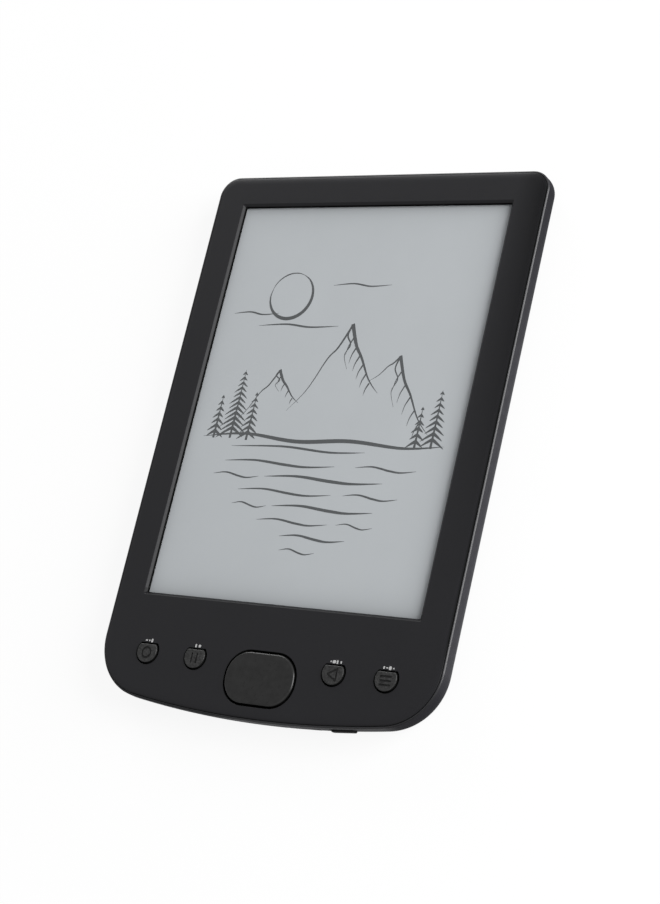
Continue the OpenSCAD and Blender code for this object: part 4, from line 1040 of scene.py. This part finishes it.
sketchForm = {  # in mm from the screen's middle
    "lift": 0.006, "liftStep": 0.0001, "sunk": 0.01, "steps": 14, "thin": 0.1,
    "hills": [  # foot, peak, end, width of stroke, count of shading strokes
        ((-33, -9), (-19.5, 9), (-10.5, -1), 0.75, 4), ((-14, -3.5), (2, 24), (15.5, 3), 0.95, 6),
        ((11.5, 6.5), (20.5, 14.5), (35, -9), 0.8, 5)],
    "shore": [  # points and width
        ([(-41, -12.6), (-26, -11.2), (-8, -12.9), (10, -12), (28, -13.3), (41, -12.2)], 1.25),
        ([(-30, -15.2), (-12, -14.6), (4, -15.7), (16, -15.2)], 0.7)],
    "firs": [  # foot's x and y, height
        (-31.5, -12.2, 21), (-25.6, -12.6, 14.5), (-37.4, -12.4, 13), (31.6, -12.6, 12), (36.8, -12.4, 17)],
    "ripples": [  # middle's x and y, half length, width
        (-12, -20, 19, 0.8), (24, -20, 10, 0.6), (-26, -24.2, 8, 0.55), (4, -24.2, 20, 0.95),
        (-8, -28.6, 16, 0.7), (21, -28.6, 9, 0.6), (-19, -33, 6, 0.5), (6, -33, 17, 0.9), (-3, -37.4, 12, 0.65),
        (18, -37.4, 6, 0.45), (5, -41.8, 11, 0.75), (1, -46, 6, 0.5)],
    "rippleWave": [(-1, 0.2), (-0.45, 0.75), (0.1, -0.15), (0.5, -0.55), (1, 0.1)],
    "clouds": [(-17, 23.2, 14, 0.6), (-33, 27, 8, 0.5), (2, 36.5, 10, 0.5)],
    "cloudWave": [(-1, 0), (-0.3, 0.6), (0.3, -0.2), (1, 0.3)],
    "sun": (-22, 33, 7.4), "sunArcs": [(-200, 70, 12, 1.15), (62, 168, 6, 0.4)]}
hillForm = {  # points as shares of the rise or the fall; the ridge's first number is in mm
    "climb": [(0, 0), (0.34, 0.25), (0.62, 0.6), (0.8, 0.74), (1, 1)], "climbW": 0.75, "tip": (-0.1, 0.25),
    "slope": [(0.2, 0.3), (0.42, 0.5), (0.7, 0.8), (1, 1)], "slopeW": 1.35,
    "ridge": [(-0.1, 0.01), (-0.9, 0.16), (0.7, 0.3), (-0.5, 0.46), (1.3, 0.66)], "ridgeW": 0.7,
    "shadeFrom": 0.16, "shadeSpan": 0.68, "shadeX": (0.93, -0.5), "shadeY": 0.02, "shadeLong": (0.3, 0.14),
    "shadeBend": [(0, 0), (0.22, 0.5), (0.3, 1)], "shadeW": 0.62}
firForm = {
    "trunk": [(0, -0.6, 0), (0.05, 0, 0.5), (0, 0, 1)], "trunkW": 0.8, "tierGap": 1.75, "leastTiers": 5,
    "topTier": 0.95, "tierSpan": 0.83, "reach": (0.045, 0.2, 0.85), "shorter": 0.84, "start": (-0.12, 0.25),
    "branch": [(0.55, 0.3), (1, 0.62)], "branchW": (0.75, 0.35)}
tapers = {  # where a stroke is thick
    "both": lambda t: math.sin(math.pi * t) ** 0.8,
    "start": lambda t: (1 - t) ** 0.75,
    "end": lambda t: t ** 0.75}


def throughPoints(points, steps):  # smooth line through points
    line = []
    for i in range(len(points) - 1):
        before = points[max(i - 1, 0)]
        a, b = points[i], points[i + 1]
        after = points[min(i + 2, len(points) - 1)]
        for k in range(steps):
            t = k / steps
            line.append(tuple(0.5 * (2 * a[n] + (b[n] - before[n]) * t
                                     + (2 * before[n] - 5 * a[n] + 4 * b[n] - after[n]) * t ** 2
                                     + (3 * a[n] - before[n] - 3 * b[n] + after[n]) * t ** 3) for n in (0, 1)))
    return line + [points[-1]]


def stroke(points, width, taper, serial):  # each lies a little higher than the one before
    f = sketchForm
    line = throughPoints(points, f["steps"])
    low = filmForm["top"] - f["sunk"]
    high = filmForm["top"] + f["lift"] + f["liftStep"] * serial
    left, right = [], []
    for i, (x, y) in enumerate(line):
        x1, y1 = line[max(i - 1, 0)]
        x2, y2 = line[min(i + 1, len(line) - 1)]
        run = math.hypot(x2 - x1, y2 - y1)
        half = max(width * tapers[taper](i / (len(line) - 1)), f["thin"]) / 2
        nx, ny = -(y2 - y1) / run * half, (x2 - x1) / run * half
        left.append((x + nx, y + ny + bezelForm["screenY"]))
        right.append((x - nx, y - ny + bezelForm["screenY"]))
    count = len(line)
    corners = level(left, high) + level(right, high) + level(left, low) + level(right, low)
    faces = []
    for i in range(count - 1):
        j = i + 1
        faces += [(i, i + count, j + count, j), (i + 2 * count, j + 2 * count, j + 3 * count, i + 3 * count),
                  (i, j, j + 2 * count, i + 2 * count), (i + count, i + 3 * count, j + 3 * count, j + count)]
    last = count - 1
    faces += [(0, 2 * count, 3 * count, count), (last, last + count, last + 3 * count, last + 2 * count)]
    return mended(meshOf("stroke", corners, faces))


def firStrokes(x, y, tall):
    f = firForm
    marks = [([(x + a, y + b + tall * c) for a, b, c in f["trunk"]], f["trunkW"], "start")]
    tiers = max(int(tall / f["tierGap"]), f["leastTiers"])
    least, more, power = f["reach"]
    for i in range(tiers):
        share = i / (tiers - 1)
        base = y + tall * (f["topTier"] - f["tierSpan"] * share)
        reach = tall * (least + more * share ** power)
        for s in (-1, 1):
            long = reach * (1.0 if (i + (s > 0)) % 2 else f["shorter"])
            branch = [(x + s * f["start"][0], base + f["start"][1])]
            branch += [(x + s * long * a, base - long * b) for a, b in f["branch"]]
            marks.append((branch, f["branchW"][0] + f["branchW"][1] * share, "start"))
    return marks


def hillStrokes(foot, peak, end, wide, shades):
    f = hillForm
    px, py = peak
    rise = (px - foot[0], py - foot[1])
    fall = (end[0] - px, end[1] - py)
    climb = [(foot[0] + rise[0] * a, foot[1] + rise[1] * b) for a, b in f["climb"]]
    slope = [(px + f["tip"][0], py + f["tip"][1])]
    slope += [(px + fall[0] * a, py + fall[1] * b) for a, b in f["slope"]]
    ridge = [(px + a, py + fall[1] * b) for a, b in f["ridge"]]
    marks = [(climb, wide * f["climbW"], "end"), (slope, wide * f["slopeW"], "start"),
             (ridge, wide * f["ridgeW"], "start")]
    for i in range(shades):
        t = f["shadeFrom"] + f["shadeSpan"] * i / (shades - 1)
        x = px + fall[0] * t * f["shadeX"][0] + f["shadeX"][1]
        y = py + fall[1] * (t + f["shadeY"])
        long = abs(fall[1]) * (f["shadeLong"][0] - f["shadeLong"][1] * t)
        marks.append(([(x - long * a, y - long * b) for a, b in f["shadeBend"]], wide * f["shadeW"], "start"))
    return marks


def sketchStrokes():
    f = sketchForm
    marks = [mark for hill in f["hills"] for mark in hillStrokes(*hill)]
    marks += [(points, width, "both") for points, width in f["shore"]]
    marks += [mark for fir in f["firs"] for mark in firStrokes(*fir)]
    for kind, wave in (("ripples", f["rippleWave"]), ("clouds", f["cloudWave"])):
        marks += [([(x + long * a, y + b) for a, b in wave], width, "both") for x, y, long, width in f[kind]]
    marks += [(arc(*f["sun"], start, end, steps), width, "both") for start, end, steps, width in f["sunArcs"]]
    return marks


sketchMesh = joined("screenSketch", [stroke(*mark, serial) for serial, mark in enumerate(sketchStrokes())])
newPiece("screenSketch", sketchMesh, "housing", paperFinish("greyInk", inkLook))
print("screen drawn:", len(sketchMesh.polygons), "faces")


# Snap domes

domeLook = {
    "dark": grey(0.42), "light": grey(0.62), "stretch": (1, 12, 1), "lineSize": 0.4, "lineDepth": 0.004,
    "roughness": 0.3}
domeForm = {
    "r": 2, "h": 0.35, "sideH": 0.32, "thick": 0.08, "low": 4.4, "steps": 10, "sides": 48, "keep": 0.12,
    "pad": [  # name, place from the pad's middle, joint
        ("right", padForm["nubX"], 0, "nav_rock_left_right"),
        ("left", -padForm["nubX"], 0, "nav_rock_left_right"),
        ("up", 0, padForm["nubY"], "nav_rock_up_down"),
        ("down", 0, -padForm["nubY"], "nav_rock_up_down")]}


def domeMesh(x, y, tall):
    f = domeForm
    sphere = (f["r"] ** 2 + tall ** 2) / (2 * tall)

    def ring(r, radius):
        height = max(math.sqrt(radius ** 2 - r ** 2) - sphere + tall, 0)
        return level(circle(x, y, r, f["sides"]), f["low"] + height)

    steps, within = f["steps"], sphere - f["thick"]
    inner = math.sqrt(within ** 2 - (sphere - tall) ** 2)
    rings = [ring(inner * k / steps, within) for k in range(1, steps + 1)]
    rings += [ring(f["r"] * k / steps, sphere) for k in range(steps, 0, -1)]
    return mended(ringMesh("dome", rings))


domeFinish = sheetFinish("springSteel", domeLook)


def snapDome(name, x, y, stands, tall=domeForm["h"]):
    dome = newPiece(name, domeMesh(x, y, tall), "housing", domeFinish, stands)
    softEdges(dome)
    x * mm
    y * mm
    domeForm["low"] * mm
    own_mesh(dome)


for keyName, keyX in keyForm["places"].items():
    snapDome("snapDome_" + keyName, keyX, keyForm["y"], ["dome_" + keyName])
snapDome("snapDome_middle", 0, padForm["y"], ["nav_centre_dome"])
for side, dx, dy, joint in domeForm["pad"]:
    snapDome("snapDome_" + side, dx, padForm["y"] + dy, ["nav_side_domes"], domeForm["sideH"])
print("domes made")


# Finishes of the parts that stay as the frame gives them

def plain(dark, light, grain=0.2, depth=0.006, rough=0.46, shine=0.4):
    return {"dark": dark, "light": light, "grainSize": grain, "grainDepth": depth, "roughness": rough,
            "shine": shine, "cloudSize": 3}


def sheet(dark, light, rough=0.32, stretch=(1, 14, 1)):
    return {"dark": dark, "light": light, "stretch": stretch, "lineSize": 0.8, "lineDepth": 0.004,
            "roughness": rough}


foamLook = {"dark": grey(0.008), "light": grey(0.02), "poreSize": 0.3, "poreDepth": 0.05, "roughness": 0.85}
glassLook = {
    "dark": (0.5, 0.6, 0.56, 1), "light": (0.62, 0.7, 0.66, 1), "hazeSize": 8, "hazeDepth": 0.001,
    "roughness": 0.08, "clearness": 0.85}
tailLook = {"dark": (0.36, 0.15, 0.02, 1), "light": (0.5, 0.23, 0.04, 1), "copper": (0.62, 0.3, 0.1, 1)}
tapeLook = {
    "dark": (0.58, 0.53, 0.38, 1), "light": (0.72, 0.67, 0.52, 1), "poreSize": 0.25, "stretch": (1, 8, 1),
    "poreDepth": 0.01, "roughness": 0.6}
boardLook = {
    "dark": (0.008, 0.07, 0.03, 1), "light": (0.016, 0.11, 0.05, 1), "track": (0.03, 0.17, 0.08, 1),
    "via": (0.6, 0.42, 0.15, 1)}
foilLook = {
    "dark": grey(0.4, (0.97, 1, 1.03)), "light": grey(0.58, (0.97, 1, 1.03)), "stretch": (1, 2, 1),
    "lineSize": 5, "lineDepth": 0.12, "roughness": 0.38, "cloudSize": 12}
frameFinishes = [
    (fibreFinish, "foamGasket", foamLook, ["display_gasket"]),
    (clearFinish, "panelGlass", glassLook, ["display_glass"]),
    (mouldedFinish, "chipResin", plain(grey(0.012), grey(0.024), grain=0.12, rough=0.5),
     ["display_drivers", "processor", "memory_chip", "flash_chip", "power_chip", "screen_power_chip"]),
    (stripedFinish, "amberTail", tailLook, ["display_flex"]),
    (mouldedFinish, "ivoryNylon", plain((0.62, 0.56, 0.44, 1), (0.75, 0.7, 0.58, 1), grain=0.15, rough=0.42),
     ["display_connector", "battery_plug", "battery_socket"]),
    (fibreFinish, "paperTape", tapeLook, ["panel_tape", "battery_tape"]),
    (sheetFinish, "rolledPlate", sheet(grey(0.34), grey(0.5, (0.98, 1, 1.02)), 0.36), ["support_plate"]),
    (sheetFinish, "platedScrew", sheet(grey(0.45), grey(0.62), 0.28, (1, 1, 6)),
     ["plate_screws", "board_screws"]),
    (boardFinish, "greenMask", boardLook, ["mainboard", "battery_board"]),
    (mouldedFinish, "ferrite", plain(grey(0.07), grey(0.14), grain=0.1, depth=0.01, rough=0.6, shine=0.3),
     ["power_coils"]),
    (mouldedFinish, "firedCeramic",
     plain((0.36, 0.25, 0.14, 1), (0.5, 0.37, 0.23, 1), grain=0.08, depth=0.004, rough=0.4), ["capacitors"]),
    (sheetFinish, "tinnedSheet", sheet(grey(0.48), grey(0.66), 0.3, (12, 1, 1)),
     ["crystal", "shield_can", "usb_shell", "card_cover"]),
    (sheetFinish, "pouchFoil", foilLook, ["battery_cell"]),
    (mouldedFinish, "redLead", plain((0.32, 0.012, 0.012, 1), (0.45, 0.02, 0.018, 1), grain=0.3, rough=0.48),
     ["battery_lead_red"]),
    (mouldedFinish, "blackLead", plain(grey(0.01), grey(0.02), grain=0.3, rough=0.48), ["battery_lead_black"]),
    (mouldedFinish, "socketNylon", plain(grey(0.012), grey(0.026), grain=0.14),
     ["usb_tongue", "card_base", "audio_jack", "power_switch", "reset_switch", "nav_pusher", "nav_guide"]),
    (sheetFinish, "goldSpring", sheet((0.6, 0.4, 0.12, 1), (0.8, 0.58, 0.22, 1), 0.25),
     ["card_contacts", "jack_contacts"]),
    (mouldedFinish, "whiteAcetal", plain((0.62, 0.6, 0.55, 1), (0.74, 0.72, 0.67, 1), depth=0.004, rough=0.35),
     ["power_plunger", "reset_plunger", "nav_pivot"]),
    (mouldedFinish, "lampResin",
     plain((0.7, 0.65, 0.4, 1), (0.85, 0.8, 0.55, 1), grain=0.15, depth=0.004, rough=0.3), ["charge_light"]),
    (mouldedFinish, "smokedPipe", plain(grey(0.002), grey(0.005), grain=0.4, depth=0.004, rough=0.7, shine=0.0),
     ["light_pipe"])]
for makeFinish, finishName, look, parts in frameFinishes:
    finish = makeFinish(finishName, look)
    for part in parts:
        nodes[part].data.materials.clear()
        nodes[part].data.materials.append(finish)
print("finishes set on", sum(len(row[-1]) for row in frameFinishes), "frame parts")


# Floor, light and camera, in metres

studio = {
    "floorZ": -0.0002, "floorReach": 4, "floorDark": grey(0.93), "floorLight": grey(0.97), "dustSize": 60,
    "whiteNear": 0.9, "whiteFrom": 0.14, "whiteFade": 0.3, "skyLevel": 0.2,
    "lamps": [  # name, place, size, power
        ("rightLamp", (1.65, 0.48, 0.66), 1.28, 73.0), ("backLamp", (-0.62, 0.95, 0.3), 0.6, 6.5),
        ("frontLamp", (0.0, -0.75, 1.15), 0.9, 2.0)]}


def shownRays(bench):  # 1 for what the camera sees, straight, in a reflection or through glass
    return bench.larger(*[bench.node("ShaderNodeLightPath", output=ray)
                          for ray in ("Is Camera Ray", "Is Glossy Ray", "Is Transmission Ray")])


def setFloor():  # shown as white, a little less so near the object, where its shadow lies
    f = studio
    mesh = bpy.data.meshes.new("floor")
    corners = rectangle(-f["floorReach"], f["floorReach"], -f["floorReach"], f["floorReach"])
    mesh.from_pydata(level(corners, f["floorZ"]), [], [(0, 1, 2, 3)])
    floor = newObject("floor", mesh)
    material, bench = newFinish("paleFloor")
    spot = bench.place()
    distance = bench.node("ShaderNodeVectorMath", {"operation": "LENGTH"}, {0: spot}, output="Value")
    away = bench.ramp(distance, f["whiteFrom"], f["whiteFade"], 1)
    whiteShare = away * (1 - f["whiteNear"]) + f["whiteNear"]
    tone = bench.blend(bench.noise(spot, f["dustSize"], 3), f["floorDark"], f["floorLight"])
    matt = bench.node("ShaderNodeBsdfDiffuse", {}, {"Color": tone})
    white = bench.node("ShaderNodeEmission", {}, {"Color": grey(1), "Strength": 1.0})
    bench.close(bench.layered(shownRays(bench) * whiteShare, matt, white))
    mesh.materials.append(material)


def setLight():
    world = bpy.data.worlds.new("studioSky")
    world.use_nodes = True
    bench = Bench(world.node_tree)
    dim, bright = [bench.node("ShaderNodeBackground", {}, {"Color": grey(1), "Strength": strength})
                   for strength in (studio["skyLevel"], 1.0)]
    bench.close(bench.layered(shownRays(bench), dim, bright), "ShaderNodeOutputWorld")
    bpy.context.scene.world = world
    for name, spot, size, power in studio["lamps"]:
        lamp = bpy.data.lights.new(name, "AREA")
        lamp.size = size
        lamp.energy = power
        holder = newObject(name, lamp)
        holder.location = spot
        holder.rotation_euler = (-Vector(spot)).to_track_quat("-Z", "Y").to_euler()


# the camera was fitted to the photograph's edges: its place, what it looks along and which way is up
cameraForm = {
    "spot": (0.341291, -0.173305, 0.511964), "along": (-0.534786, 0.269291, -0.800929),
    "up": (-0.046839, 0.936954, 0.346300), "focalPixels": 2198.7, "longSide": 904, "sensor": 36,
    "nearest": 0.01, "farthest": 20}


def setCamera():
    f = cameraForm
    along = Vector(f["along"]).normalized()
    right = along.cross(Vector(f["up"])).normalized()
    turn = Matrix((right, right.cross(along), -along)).transposed().to_4x4()
    camera = bpy.data.cameras.new("camera")
    camera.sensor_width = f["sensor"]
    camera.lens = f["focalPixels"] / f["longSide"] * f["sensor"]
    camera.clip_start = f["nearest"]
    camera.clip_end = f["farthest"]
    holder = newObject("camera", camera)
    holder.matrix_world = Matrix.Translation(Vector(f["spot"])) @ turn
    bpy.context.scene.camera = holder


setFloor()
setLight()
setCamera()
bpy.context.scene.view_settings.view_transform = "Standard"
print("studio set")
